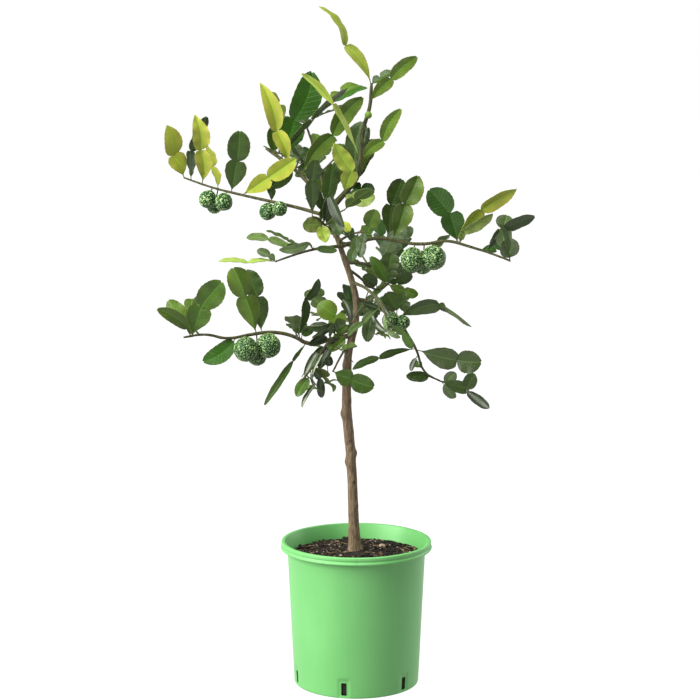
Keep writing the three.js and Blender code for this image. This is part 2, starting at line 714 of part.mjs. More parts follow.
// Side twigs grow by the rule: to alternate sides, each somewhere in its own stretch of the limb. A leaf that
// has no room isn't grown, nor a twig that has none or bears no leaf, but their draws are made.
function growTwigs(limb, cover) {
  const draw = drawsFrom(limb.seed)
  for (let i = 0; i < limb.twigs; i += 1) {
    const share = limb.bare + (1 - limb.bare) * (i + draw(GROWTH.twigPlace)) / limb.twigs
    const side = i % 2 === 0 ? 1 : -1
    const azimuth = limb.azimuth + side * draw(GROWTH.twigSpread)
    const rise = draw(GROWTH.twigRise) - limb.droop
    const slopes = GROWTH.twigBend.map((bend) => rise + bend)
    const path = pathOf(pointAt(limb.path, share), azimuth, draw(GROWTH.twigLength), slopes)
    const samples = limbSamples(path, TWIG_SAMPLES)
    const hasTwig = isCovered(samples, cover) && hasRoom(samples, limb.name, limb.stemTaken)
    const twigTaken = hasTwig ? take(limb.name, samples, TWIG_RADIUS) : null
    const leavesBefore = limb.leafList.length
    for (let j = 0; j < GROWTH.leavesPerTwig; j += 1) {
      const foot = pointAt(path, 1 - j * GROWTH.leafStep)
      const leafSide = j % 2 === 0 ? 1 : -1
      const turn = j === 0 ? draw(GROWTH.endLeafSpread) : leafSide * draw(GROWTH.sideLeafSpread)
      const leafRise = rise + draw(GROWTH.leafRise) + limb.droop * draw(GROWTH.leafDroop)
      const leaf = grownLeaf(foot, azimuth + turn, leafRise, draw)
      const leafPoints = leafSamples(leaf)
      if (hasTwig && isCovered(leafPoints, cover) && hasRoom(leafPoints, limb.name, twigTaken)) {
        limb.leafList.push(leaf)
        take(limb.name, leafPoints, 0)
      }
    }
    if (limb.leafList.length > leavesBefore) {
      limb.twigPaths.push({ path, azimuth })
    }
  }
}

function grownLeaf(foot, azimuth, rise, draw) {
  const length = draw(GROWTH.leafLength)
  const width = draw(GROWTH.leafWidth)
  const roll = radians(draw(GROWTH.leafRoll))
  const crook = radians(draw(GROWTH.leafCrook))
  const along = direction(azimuth, rise)
  // The upper side looks up and outwards
  const face = direction(azimuth, 0).multiplyScalar(GROWTH.leafTilt).add(UP)
  face.addScaledVector(along, -face.dot(along)).normalize()
  face.applyAxisAngle(along, roll)
  const beyond = along.clone().applyAxisAngle(face, crook)
  const stalk = length * GROWTH.stalkShare
  return { foot, along, beyond, face, stalk, blade: length - stalk, width, bow: 0, twist: 0 }
}

// Trunk and limbs

const trunkPath = pathOf(
  new THREE.Vector3(TRUNK_FOOT_X, 0, SOIL_TOP_HEIGHT + GAP), TRUNK.azimuth, TRUNK.length, TRUNK.slopes)
const trunkRadius = (s) => spread(TRUNK.radii, s)

function makeTrunk(extra = 0) {
  const trunk = limbSolid(trunkPath, TRUNK.azimuth, 0, 1, trunkRadius, TRUNK_SIDES, PATH_STEPS, extra)
  // The cut at the mix is level
  const slab = new THREE.BoxGeometry(TRUNK_CUT, TRUNK_CUT, TRUNK_CUT)
  slab.translate(TRUNK_FOOT_X, 0, SOIL_TOP_HEIGHT + GAP - TRUNK_CUT / 2)
  return trunk.subtract(solidOf(slab))
}

function prepareLimb(limb) {
  limb.path = pathOf(pointAt(trunkPath, limb.from), limb.azimuth, limb.length, limb.slopes)
  limb.radiusAt = (s) => limb.radii[0] + (limb.radii[1] - limb.radii[0]) * s
  limb.leafList = limb.leaves.map((row) => leafFromRow(limb, row))
  limb.twigPaths = []
}

function stepsFor(limb, share) {
  return Math.max(2, Math.round(limb.length * share / LIMB_STEP))
}

// The bare part of a limb, from the trunk's middle line
function boughSolid(limb, extra = 0) {
  const steps = stepsFor(limb, limb.bare)
  return limbSolid(limb.path, limb.azimuth, 0, limb.bare, limb.radiusAt, BOUGH_SIDES, steps, extra)
}

function makeFoliage(limb) {
  const low = limb.bare + GAP / limb.length
  const stem = limbSolid(limb.path, limb.azimuth, low, 1, limb.radiusAt, STEM_SIDES, stepsFor(limb, 1 - low))
  const twigs = limb.twigPaths.map(({ path, azimuth }) => (
    limbSolid(path, azimuth, 0, 1, () => TWIG_RADIUS, TWIG_SIDES, TWIG_STEPS)))
  const leaves = limb.leafList.map(leafSolid)
  return wasm.Manifold.union([stem, ...twigs, ...leaves, ...limb.fruitParts])
}

const tree = new THREE.Group()
tree.add(meshOf('pot', makePot(), PLASTIC))
tree.add(meshOf('soil', makeSoil(), MIX))
tree.add(meshOf('trunk', makeTrunk(), BARK))

take('trunk', limbSamples(trunkPath, TRUNK_SAMPLES), TRUNK_ROOM_RADIUS)
for (const limb of LIMBS) {
  prepareLimb(limb)
  limb.stemTaken = take(limb.name, limbSamples(limb.path, STEM_SAMPLES), LIMB_ROOM_RADIUS)
  limb.fruitParts = fruitSolids(limb)
  for (const leaf of limb.leafList) {
    take(limb.name, leafSamples(leaf), 0)
  }
}
const cover = taken.flatMap((entry) => entry.points.map(frontPlace))
for (const limb of LIMBS) {
  growTwigs(limb, cover)
}

// Each bough is cut clear of the trunk and of the boughs before it
const cutters = [makeTrunk(GAP)]
for (const limb of LIMBS) {
  const bough = cutters.reduce((solid, cutter) => solid.subtract(cutter), boughSolid(limb))
  tree.add(meshOf(`bough_${limb.name}`, mainBody(bough), YOUNG_BARK))
  cutters.push(boughSolid(limb, GAP))
}
for (const limb of LIMBS) {
  tree.add(meshOf(`foliage_${limb.name}`, mainBody(makeFoliage(limb)), FOLIAGE))
}

export default tree
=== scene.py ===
"""A makrut lime tree in a nursery pot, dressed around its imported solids.

Lengths are in millimetres until a mesh is made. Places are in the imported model's frame: +Z up, +Y away
from the front view, and the origin at the centre of the pot's flat underside.
"""

import functools
import math
import random

import bmesh
import bpy
import numpy as np
from mathutils import Matrix, Vector, noise


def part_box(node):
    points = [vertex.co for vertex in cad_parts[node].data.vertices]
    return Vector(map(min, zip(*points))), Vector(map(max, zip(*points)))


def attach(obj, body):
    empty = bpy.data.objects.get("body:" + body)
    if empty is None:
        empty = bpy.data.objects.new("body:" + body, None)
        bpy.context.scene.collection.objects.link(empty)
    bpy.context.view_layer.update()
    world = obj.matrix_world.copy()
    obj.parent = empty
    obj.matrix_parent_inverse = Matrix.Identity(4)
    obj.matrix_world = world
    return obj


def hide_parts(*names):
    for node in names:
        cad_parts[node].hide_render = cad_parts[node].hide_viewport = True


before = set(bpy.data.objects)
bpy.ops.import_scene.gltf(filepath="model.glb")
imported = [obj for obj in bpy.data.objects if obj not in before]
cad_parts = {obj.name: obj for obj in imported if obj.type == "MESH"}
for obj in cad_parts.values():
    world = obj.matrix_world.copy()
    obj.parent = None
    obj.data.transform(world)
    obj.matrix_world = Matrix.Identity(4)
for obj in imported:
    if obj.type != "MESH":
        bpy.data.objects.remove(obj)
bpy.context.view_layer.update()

MM = 0.001
SEEDS = {"chips": 71, "fibres": 72, "grains": 73, "twigs": 74, "leaves": 75, "fruits": 76}

# Pot
POT_HEIGHT = 211
POT_RIM_RADIUS = 110
POT_TOP_RADIUS = 101
POT_BASE_RADIUS = 91
POT_WALL = 2
POT_FLOOR = 3
LIP_DROP = 12
LIP_TOP_RADIUS = 109
LIP_GROOVE_RADIUS = 108.2
LIP_GROOVE_DEPTH = 6
POT_SIDES = 360
POT_SHARP = 40
SLOT_COUNT = 6
SLOT_FIRST_AZIMUTH = -101.5
SLOT_WIDTH = 8
SLOT_LOW = 4
SLOT_HIGH = 23
SLOT_ROUNDING = 1.6
SLOT_REACH = 12
PANEL_WIDTH = 14
PANEL_LOW = 1.2
PANEL_HIGH = 29
PANEL_DEPTH = 0.9
SEAM_AZIMUTH = -88.9
SEAM_WIDTH = 0.7
SEAM_DEPTH = 0.5

# Gap between neighbouring solids
GAP = 0.3

# Potting mix, as [radius, height] from the wall inwards
SOIL_TOP_HEIGHT = 196
SOIL_MOUND = [[97, 189], [62, 190], [34, 193], [13, SOIL_TOP_HEIGHT], [0, SOIL_TOP_HEIGHT]]
SOIL_ROOM = 0.9
SOIL_ROUGHNESS = 1.6
SOIL_SIDES = 150
SOIL_RINGS = 40
INNERMOST_SOIL_RING = 2.5
PEBBLE = (38, 33)
PEBBLE_SIZE = (4.9, 3.8, 3.2)

# Trunk: slopes are in degrees above level towards +X, at even steps
TRUNK = {
    "azimuth": 0,
    "length": 499,
    "slopes": [92, 92, 92, 95, 96, 89, 88, 74, 88, 108, 109, 111],
    "radii": [9.6, 7.7, 7.1, 7.0, 7.4, 6.9, 6.5, 5.6, 5.0, 4.5, 4.1, 3.7],
}
TRUNK_FOOT = (-2.4, 0, SOIL_TOP_HEIGHT + GAP)

# Knots and scars: height on the trunk, azimuth, reach along the bark, how far it stands out, how dark
KNOTS = [
    [398, 185, 6.5, 2.6, 0.5],
    [359, -80, 5.0, 0.9, 0.9],
    [340, -8, 6.0, 2.2, 0.3],
    [327, 190, 6.5, 2.4, 0.4],
    [298, -75, 4.5, 0.7, 1.0],
    [531, 175, 5.0, 1.8, 0.0],
    [527, -70, 8.0, 1.6, 0.5],
    [470, 200, 6.0, 1.2, 0.3],
    [262, -30, 5.0, 0.9, 0.5],
    [418, -50, 5.0, 1.1, 0.4],
    [372, 80, 6.0, 1.8, 0.5],
    [445, 120, 6.0, 1.5, 0.4],
]

# Room that leaves keep from limbs, from other masses' leaves and from their own mass's leaves
ROOM_TO_LIMB = 5
ROOM_TO_OTHERS = 13
ROOM_TO_OWN = 8
# Room that small leaves keep from the wood of their own limb
ROOM_TO_OWN_WOOD = 4.5
# How thick wood is for this
TRUNK_ROOM_RADIUS = 7
LIMB_ROOM_RADIUS = 2
TWIG_RADIUS = 1.3
FINE_TWIG_RADIUS = 0.8
# Where wood is sampled: from this share of its length on, in so many steps
TRUNK_SAMPLES = (0, 60)
LIMB_SAMPLES = (0.08, 24)
WOOD_SAMPLES = (0, 40)
TWIG_SAMPLES = (0.3, 5)

# A grown leaf stays where leaves or limbs are there already as seen from this point in front: this near to
# it, and for this share of it
FRONT_VIEWER = np.array([-9.0, -2860.0, 915.0])
COVER = (10, 0.85)

# A small leaf hides a leaf or fruit that it is this near to as seen from in front, and this far before
HIDING_REACH = 8
HIDING_DEPTH = 2
# Where a fruit is sampled for this, as a share of its radius
FRUIT_SAMPLE_REACH = 0.6

# What a leaf is like where nothing else is said: tone, degrees of fold, curl as a share of length, how far
# stalk and blade bulge to the right as a share of their length, twist of the blade, droop of its tip
PLAIN_LEAF = {"tone": "dark", "fold": 8, "curl": 0.03, "bow": 0, "twist": 0, "wilt": 0, "small": False}

LIMBS = []


def add_limb(name, **values):
    """A bare bough up to the share `bare` of its length, and the stem of its foliage past that.

    It starts at a share of the trunk's length. Slopes are degrees above level.
    leaves: [share of the limb, lean from upright, crook at the joint, degrees to the front, turn, length
    of the winged stalk, length of the blade, width], and on through PLAIN_LEAF up to the last that differs.
    fruits: [share of the limb, to the right, below, behind, radius]
    """
    LIMBS.append({"name": name, "twigs": 0, "droop": 0, "leaves": [], "fruits": []} | values)


add_limb(
    "leader", start=1, azimuth=0, length=201, slopes=[50, 48, 85, 87, 70, 88],
    radii=[4, 2.4], bare=0.16, seed=3,
    leaves=[
        [0.985, -33, -1, 0, 10, 66, 66, 19, "lime", 14, 0.05, 0.08, 50],
        [0.862, 41, 9, 10, 15, 45, 48, 22, "bright", 14, 0.03, -0.1],
        [0.448, 48, -19, 15, 15, 44, 53, 20, "bright", 14, 0.03, -0.09],
        [0.37, -23, 35, -25, 10, 19, 61, 32],
        [0.452, -26, -19, 20, 65, 94, 64, 20, "lemon", 12, 0.05, 0.1],
        [0.18, 18, -50, 20, 10, 37, 50, 26, "lemon", 12, 0.05],
        [0.17, 105, -19, 25, 10, 13, 37, 24, "pale", 8, 0.05, 0.05],
        [0.52, 40, -28, -5, 40, 8, 27, 10, "grey"],
    ],
    fruits=[[0.76, 2, -3, -9, 5.2]])
add_limb(
    "upper_left", start=1, azimuth=155, length=135, slopes=[57, 48, 34, 32],
    radii=[3.5, 2.4], bare=0.42, seed=5, twigs=5,
    leaves=[
        [0.698, -18, 0, 12, 5, 51, 73, 27, "young", 22, 0.05, 0.1],
        [0.86, 27, -6, -12, 10, 57, 76, 42, "deep", 8, 0.03, 0.04],
        [0.8, 38, 13, -2, 65, 71, 69, 20, "grey", 8, 0.03, -0.06],
        [0.5, 38, 0, 8, 15, 74, 69, 28, "mid", 14, 0.03, -0.05],
        [0.88, 1, -9, -5, 20, 6, 34, 18],
        [0.79, 20, 20, -20, 15, 26, 26, 16],
    ])
add_limb(
    "left_high", start=0.99, azimuth=165, length=224, slopes=[15, 11, 11, 12, 18],
    radii=[2.8, 1.3], bare=0.25, seed=7,
    leaves=[
        [1, -25, 16, 15, 35, 37, 46, 33, "young", 12, 0.05, 0.05],
        [0.95, -1, 26, -12, 60, 42, 56, 26],
        [0.872, 0, -7, 22, 10, 54, 54, 27, "young", 18, 0.05, 0.06],
        [0.758, -19, 1, -28, 60, 37, 38, 22, "young", 12, 0.05, 0.05],
        [0.67, 12, -6, 5, 10, 46, 44, 34, "dark", 8, 0.03, 0.03],
        [0.592, 56, -1, 18, 15, 49, 51, 29, "yellow", 14, 0.05],
        [0.39, -8, 63, -22, 40, 23, 42, 22],
    ],
    fruits=[
        [0.8, -6, 17, -5, 12.6], [0.7, -4, 15, -6, 12.3], [0.76, -6, 24, 10, 11.6],
        [0.405, -3, 15, -4, 11.8], [0.32, -3, 6, -12, 10.3],
    ])
add_limb(
    "left_mid", start=0.9, azimuth=205, length=102, slopes=[-2, -12, -16],
    radii=[2.2, 1.3], bare=0.3, seed=11, twigs=3, droop=10,
    leaves=[
        [0.982, -93, 6, 5, 76, 40, 42, 20, "pale", 8, 0.05, 0.03],
        [1, -40, -31, -10, 20, 12, 20, 13, "grey"],
        [0.72, -15, -10, 20, 20, 4, 16, 14, "mid", 12],
        [0.402, -35, -65, 28, 50, 13, 48, 13, "silver", 8, 0.03, -0.1],
        [0.64, -65, -22, -10, 35, 48, 32, 14, "mid", 12, 0.03, 0.04],
        [0.53, -59, -9, -25, 75, 32, 38, 16, "grey"],
        [0.4, 80, 12, 25, 20, 5, 31, 13],
    ])
add_limb(
    "right_high", start=0.9, azimuth=-12, length=250, slopes=[16, 10, -14, -3, 13, -15, -16, -20],
    radii=[3, 1.6], bare=0.24, seed=13,
    leaves=[
        [0.312, 18, 6, 12, 5, 56, 45, 36, "mid", 26],
        [0.285, 6, 18, -20, 20, 50, 42, 30],
        [0.69, -16, -25, 5, 8, 44, 45, 37, "deep", 12],
        [0.678, 37, 22, 5, 30, 58, 58, 26, "young", 16, 0.03, -0.07],
        [0.7, 14, 42, 22, 25, 19, 52, 22, "pale", 30, 0.05, -0.06],
        [0.86, 33, 36, -8, 45, 35, 54, 22, "dark", 8, 0.06, -0.06],
        [0.97, -3, 20, -15, 15, 42, 21, 28, "silver"],
        [1, -1, -8, 18, 10, 5, 30, 29, "silver"],
        [1, -18, 1, 28, 30, 12, 52, 10, "fresh", 18, 0.04, 0.04],
    ],
    fruits=[[0.44, -3, 22, -8, 16.7], [0.55, 0, 21, -6, 17], [0.495, -2, 30, 14, 14.2]])
add_limb(
    "left_low", start=0.635, azimuth=198, length=254, slopes=[-7, -15, 31, 11, -6, -9, 17, -7],
    radii=[3.4, 1.6], bare=0.26, seed=17, twigs=4,
    leaves=[
        [0.58, -16, -4, 12, 8, 57, 46, 37, "mid", -24],
        [0.55, -8, -15, -20, 20, 53, 43, 32],
        [0.95, 17, 23, 0, 8, 43, 46, 38, "fresh", 12],
        [0.948, -14, -31, -14, 15, 17, 46, 27, "mid", 12, 0.03, -0.05],
        [0.962, -12, -42, 22, 20, 14, 54, 20, "mid", 12, 0.05, 0.05],
        [0.7, -150, 27, 12, 10, 6, 52, 27, "deep", 8, 0.03, -0.06],
        [0.34, 12, 21, 8, 40, 57, 37, 18, "dark", 18, 0.03, 0.06],
        [0.32, -7, 2, -6, 15, 9, 24, 25, "grey", 20],
        [0.28, -145, -1, 10, 35, 32, 75, 13, "dark", 22, 0.04, -0.05],
        [0.31, 8, 52, -8, 15, 8, 20, 13, "dark", 8, 0.05],
    ],
    fruits=[[0.64, 0, 19, -6, 17], [0.51, 0, 18, -8, 17], [0.58, 0, 34, 13, 13.4]])
add_limb(
    "right_low", start=0.74, azimuth=20, length=197, slopes=[-9, -30, -61, -57, -77, -26],
    radii=[2.6, 1.4], bare=0.29, seed=19, twigs=3, droop=10,
    leaves=[
        [0.378, 69, 56, 12, 25, 64, 57, 29, "grey", 16, 0.03, -0.08, 55],
        [0.36, 0, -31, -5, 5, 9, 30, 28],
        [0.658, 102, -10, 18, 0, 63, 36, 35, "grey", 14],
        [0.65, -105, -8, -5, 58, 55, 43, 18, "dark", 8, 0.03, 0.05],
        [0.7, -145, -13, 15, 55, 6, 20, 12, "streaked"],
        [0.91, -90, 4, 10, 25, 5, 33, 17],
        [1, 105, -62, 12, 10, 6, 22, 18, "silver", 8, 0.05],
        [1, 140, 0, 0, 20, 6, 26, 16, "silver", 8, 0.05],
        [0.99, 104, -81, 12, 5, 40, 26, 21],
        [0.98, 113, 18, -12, 40, 47, 43, 20, "streaked", 8, 0.03, -0.08],
    ],
    fruits=[[0.3, -2, 12, -12, 11.6], [0.35, 9, 8, -14, 10.4]])
add_limb(
    "right_mid", start=0.83, azimuth=35, length=88, slopes=[-31, -43, -24, 36],
    radii=[2, 1.3], bare=0.4, seed=23, twigs=3,
    leaves=[
        [0.91, 0, -33, -5, 20, 4, 44, 18, "fresh", 12, 0.05],
        [0.94, 4, 6, -20, 5, 20, 27, 28, "grey"],
        [0.95, 73, -3, 5, 10, 11, 26, 19],
        [0.92, 107, -3, 20, 20, 27, 22, 17, "mid", 12, 0.05],
        [0.72, -27, -24, 8, 10, 7, 24, 21],
    ])
add_limb(
    "fork_left", start=0.945, azimuth=235, length=60, slopes=[20, 35, 20],
    radii=[2, 1.3], bare=0.3, seed=29, twigs=2,
    leaves=[
        [1, -1, 11, 10, 10, 51, 30, 22],
        [0.4, -60, -30, 30, 10, 6, 32, 24, "pale", 8, 0.05],
        [0.58, -167, -31, 12, 10, 6, 24, 20, "lemon", 12, 0.05],
        [0.55, 12, -4, -14, 15, 33, 53, 24],
        [0.62, 10, -28, 26, 30, 20, 34, 14, "dark", 8, 0.05],
        [0.5, 12, 142, 35, 15, 52, 55, 18, "shade", 32],
        [0.4, 40, 115, 18, 10, 18, 28, 24],
    ])
add_limb(
    "fork_right", start=0.915, azimuth=-42, length=54, slopes=[26, 12],
    radii=[1.8, 1.3], bare=0.35, seed=31, twigs=2,
    leaves=[
        [1, 40, -19, 15, 5, 9, 27, 25, "mid", 12],
        [1, -170, 2, 8, 25, 14, 24, 15],
        [0.44, -20, -8, -35, 10, 5, 20, 14, "young", 12, 0.05],
        [0.765, -174, 13, 12, 30, 21, 22, 18, "dark", 14, 0.05, 0.05],
    ])
add_limb(
    "front_left", start=0.655, azimuth=235, length=150, slopes=[-5, -20, -45, -30],
    radii=[2.6, 1.3], bare=0.15, seed=37, droop=35,
    leaves=[
        [0.17, -29, -24, -5, 10, 26, 30, 30, "bright", 12, 0.05],
        [0.26, -16, -104, 28, 40, 20, 40, 13, "streaked", 34, 0.06],
        [0.57, -86, -65, 25, 40, 7, 38, 13, "streaked", 30, 0.06],
        [0.46, 149, 64, 28, 25, 10, 32, 17, "shade", 24],
        [0.76, 166, -57, 0, 20, 4, 25, 14, "olive", 16, 0.06],
        [0.86, -195, 49, 15, 5, 6, 30, 17, "fresh"],
        [0.77, 142, 35, -5, 15, 19, 29, 13, "shade", 20],
        [0.8, 162, 51, 12, 50, 22, 36, 10, "streaked", 30, 0.05],
        [0.16, 51, 10, 30, 30, 12, 24, 12, "fresh", 12],
        [0.19, -36, 20, 38, 10, 4, 26, 20, "mid", 12],
        [0.29, -38, -55, 0, 50, 20, 26, 11, "shade", 8, 0.06],
        [0.22, -170, 40, 20, 20, 8, 23, 15, "mid", 12],
        [0.398, 2, -99, 22, 50, 29, 36, 11, "grey", 24, 0.05, -0.1],
        [0.515, -43, -98, 24, -45, 4, 33, 11, "grey", 34, 0.07, 0.06],
        [0.47, -178, -30, 8, 20, 16, 15, 15, "shade", 14, 0.05, -0.05],
        [0.348, 43, 1, 30, 15, 11, 23, 12, "mid", 14, 0.05, -0.06],
        [0.402, -42, -66, 30, 30, 8, 30, 15, "shade", 24, 0.07, 0.06],
        [0.232, 153, 116, 16, 30, 10, 27, 10, "shade", 20, 0.05, -0.05],
        [0.285, 114, 121, 26, 20, 14, 27, 12, "mid", 18, 0.05, 0.05],
        [0.642, 48, 163, 36, -50, 12, 36, 10, "streaked", 34, 0.07, 0.06],
        [0.168, 30, -47, 12, 40, 18, 35, 11, "streaked", 30, 0.05, 0.05],
    ])
add_limb(
    "front_low", start=0.62, azimuth=215, length=54, slopes=[-48, -58],
    radii=[1.7, 1.3], bare=0.5, seed=41, droop=20,
    leaves=[
        [0.98, 112, -4, 12, 0, 28, 35, 28, "fresh", 8, 0.03, 0.04],
    ])
add_limb(
    "front_right", start=0.79, azimuth=-60, length=120, slopes=[-5, -25, -45],
    radii=[2.4, 1.3], bare=0.2, seed=43, droop=40,
    leaves=[
        [0.3, 121, 25, 10, 55, 13, 41, 14, "streaked", 8, 0.05],
        [0.602, -161, -9, 15, 10, 27, 34, 20, "grey", 12, 0.05],
        [1, 121, 32, -5, 25, 22, 26, 14, "fresh", 12],
        [0.7, -134, 64, 15, 40, 5, 25, 11, "shade"],
        [0.568, -166, -52, 22, 50, 24, 32, 13, "streaked", 30, 0.06, 0.05],
        [0.722, -130, 3, 18, 40, 35, 29, 13, "grey", 24, 0.05, 0.05],
        [0.473, -158, -94, 12, 30, 23, 21, 12, "shade", 18, 0.06, -0.06],
        [0.795, 170, -50, 10, 50, 27, 21, 10, "silver", 24, 0.07, -0.08],
    ])
add_limb(
    "back_high", start=0.93, azimuth=95, length=190, slopes=[38, 26, 18],
    radii=[2.8, 1.3], bare=0.34, seed=47, twigs=14)
add_limb(
    "back_top", start=0.985, azimuth=118, length=165, slopes=[66, 62, 50],
    radii=[2.8, 1.3], bare=0.36, seed=61, twigs=14)
add_limb(
    "back_right", start=0.85, azimuth=62, length=185, slopes=[-6, -16, -10],
    radii=[2.7, 1.3], bare=0.36, seed=89, twigs=14, droop=5)
add_limb(
    "back_left", start=0.66, azimuth=98, length=170, slopes=[2, -8, -12],
    radii=[2.7, 1.3], bare=0.36, seed=59, twigs=7, droop=10)

# How the rule grows a side twig and its leaves. A pair is the range that a draw falls in.
GROWTH = {
    "twig_place": (0.3, 0.7),
    "twig_spread": (37, 74),
    "twig_rise": (9, 35),
    "twig_length": (36, 62),
    "twig_bend": (0, 8, -6),
    "leaves_per_twig": 3,
    "leaf_step": 0.32,
    "end_leaf_spread": (-5, 5),
    "side_leaf_spread": (35, 60),
    "leaf_rise": (-5, 30),
    "leaf_droop": (-1, 0),
    "leaf_length": (55, 89),
    "leaf_width": (22, 32),
    "leaf_roll": (-35, 35),
    "leaf_crook": (-15, 15),
    "leaf_tilt": -0.2,
    "leaf_fold": (2, 20),
    "leaf_curl": (0, 0.09),
    "stalk_share": 0.48,
}

# Small leaves that fill the crown behind its front leaves. A pair is a range, but `cover` is how near foliage
# has to be and for what share of the leaf, and `room` is what it keeps from its own mass and from the others.
FILL = {
    "spacing": 9,
    "spread": (20, 160),
    "rise": (-10, 60),
    "length": (28, 62),
    "width": (13, 23),
    "roll": (-50, 50),
    "crook": (-25, 25),
    "tones": ["dark", "deep", "mid", "dark", "fresh", "mid", "olive", "deep", "grey", "dark"],
    "fold": (0, 25),
    "curl": (0, 0.1),
    "wilt": (0, 0),
    "cover": (9, 0.88),
    "room": (5, 6),
    "may_hide": 0.1,
    "twigs": 0,
}
# On limbs that hang they are narrow and folded, and fine twigs carry them too
HANGING_FILL = FILL | {
    "spacing": 4,
    "length": (24, 50),
    "width": (7, 15),
    "tones": ["shade", "streaked", "dark", "shade", "grey", "streaked", "deep", "fresh"],
    "fold": (16, 46),
    "curl": (0.04, 0.14),
    "wilt": (0.2, 1.1),
    "cover": (15, 0.5),
    "room": (2.2, 3),
    "may_hide": 0.5,
    "twigs": 80,
    "twig_spread": (30, 150),
    "twig_rise": (-75, 10),
    "twig_length": (20, 48),
    "twig_bend": (0, -12, -26),
    "twig_room": (1.5, 3),
}
FILL_SEED = 1000
HANGING_DROOP = 15
WILT_OF_HANGING = 0.3
# The share of a stem's length that carries no small leaves
HANGING_BARE = 0.1
TWIG_BARE = 0.15
FINE_TWIG_BARE = 0.25

UP = np.array([0.0, 0.0, 1.0])
TO_FRONT = np.array([0.0, -1.0, 0.0])


# Directions and paths


def unit(v):
    return v / np.linalg.norm(v)


def direction(azimuth, slope):
    a = math.radians(azimuth)
    s = math.radians(slope)
    return np.array([math.cos(s) * math.cos(a), math.cos(s) * math.sin(a), math.sin(s)])


def heading(lean, to_front):
    """A leaf's direction as seen from in front: lean clockwise from upright, and degrees to the front."""
    a = math.radians(lean)
    f = math.radians(to_front)
    return np.array([math.cos(f) * math.sin(a), -math.sin(f), math.cos(f) * math.cos(a)])


def turned(v, axis, angle):
    """v turned about a unit axis, in radians."""
    return (v * math.cos(angle) + np.cross(axis, v) * math.sin(angle)
            + axis * (axis @ v) * (1 - math.cos(angle)))


def spread(values, share):
    """A value read from a list that is spread evenly over 0 to 1, with straight runs between its middles."""
    place = min(max(share * len(values) - 0.5, 0), len(values) - 1)
    low = min(math.floor(place), max(len(values) - 2, 0))
    high = min(low + 1, len(values) - 1)
    return values[low] + (values[high] - values[low]) * (place - low)


PATH_STEPS = 24


def path_of(start, azimuth, length, slopes):
    points = [np.array(start, float)]
    for i in range(PATH_STEPS):
        step = direction(azimuth, spread(slopes, (i + 0.5) / PATH_STEPS))
        points.append(points[-1] + step * length / PATH_STEPS)
    return np.array(points)


def point_at(path, share):
    place = min(max(share, 0), 1) * PATH_STEPS
    low = min(math.floor(place), PATH_STEPS - 1)
    return path[low] + (path[low + 1] - path[low]) * (place - low)


# The steps of the solids' own draws
DRAW_FACTOR = 1664525
DRAW_SHIFT = 1013904223
DRAW_SPAN = 4294967296


def draws_from(seed):
    """The same draws from a range, in the same order, each time."""
    state = [seed]

    def draw(span):
        state[0] = (state[0] * DRAW_FACTOR + DRAW_SHIFT) % DRAW_SPAN
        return span[0] + (span[1] - span[0]) * state[0] / DRAW_SPAN

    return draw


# Leaves as the solids have them


def bulge(leaf, distance, length):
    """How far a part of a leaf bulges at distances from its start."""
    share = np.clip(distance / length, 0, 1)
    return leaf["bow"] * 4 * share * (1 - share) * length


def leaf_frame(leaf, distance):
    """The leaf's middle line, upper face and crosswise direction at distances from its foot."""
    distance = np.asarray(distance, float)
    on_stalk = np.minimum(distance, leaf["stalk"])
    on_blade = np.maximum(distance - leaf["stalk"], 0)
    point = leaf["foot"] + leaf["along"] * on_stalk[:, None] + leaf["beyond"] * on_blade[:, None]
    along = np.where((distance > leaf["stalk"])[:, None], leaf["beyond"], leaf["along"])
    face = leaf["face"] - along * (along @ leaf["face"])[:, None]
    face /= np.linalg.norm(face, axis=1)[:, None]
    across = np.cross(face, along)
    aside = bulge(leaf, on_stalk, leaf["stalk"]) + bulge(leaf, on_blade, leaf["blade"])
    point = point - across * aside[:, None]
    twist = math.radians(leaf["twist"]) * np.clip(on_blade / leaf["blade"] * 4, 0, 1)[:, None]
    turned_face = face * np.cos(twist) - across * np.sin(twist)
    return point, turned_face, across * np.cos(twist) + face * np.sin(twist), along


# Where a leaf is sampled for its room: shares of the stalk's and the blade's length, and of the width
STALK_SAMPLES = (0.25, 0.45, 0.65, 0.85)
BLADE_SAMPLES = (0.15, 0.35, 0.55, 0.75, 0.95)
SAMPLED_WIDTH = 0.8


def leaf_samples(leaf):
    stalk = leaf["stalk"]
    blade = leaf["blade"]
    places = [[share * stalk, share * min(1, stalk / blade)] for share in STALK_SAMPLES]
    places += [[stalk + share * blade, SAMPLED_WIDTH] for share in BLADE_SAMPLES]
    distance, width_share = np.array(places).T
    point, _, across, _ = leaf_frame(leaf, distance)
    side = across * (leaf["width"] * width_share * 0.5)[:, None]
    return np.concatenate([point, point + side, point - side])


def leaf_from_row(path, row):
    at, lean, crook, to_front, turn, stalk, blade, width, *others = row
    along = heading(lean, to_front)
    face = unit(TO_FRONT - along * (TO_FRONT @ along))
    return PLAIN_LEAF | dict(zip(PLAIN_LEAF, others)) | {
        "foot": point_at(path, at),
        "along": along,
        "beyond": heading(lean + crook, to_front),
        "face": turned(face, along, math.radians(turn)),
        "stalk": stalk,
        "blade": blade,
        "width": width,
    }


def grown_leaf(foot, azimuth, rise, length, width, roll, crook):
    along = direction(azimuth, rise)
    face = direction(azimuth, 0) * GROWTH["leaf_tilt"] + UP
    face = unit(face - along * (face @ along))
    face = turned(face, along, math.radians(roll))
    stalk = length * GROWTH["stalk_share"]
    return PLAIN_LEAF | {
        "foot": foot,
        "along": along,
        "beyond": turned(along, face, math.radians(crook)),
        "face": face,
        "stalk": stalk,
        "blade": length - stalk,
        "width": width,
    }


# Room


taken = []


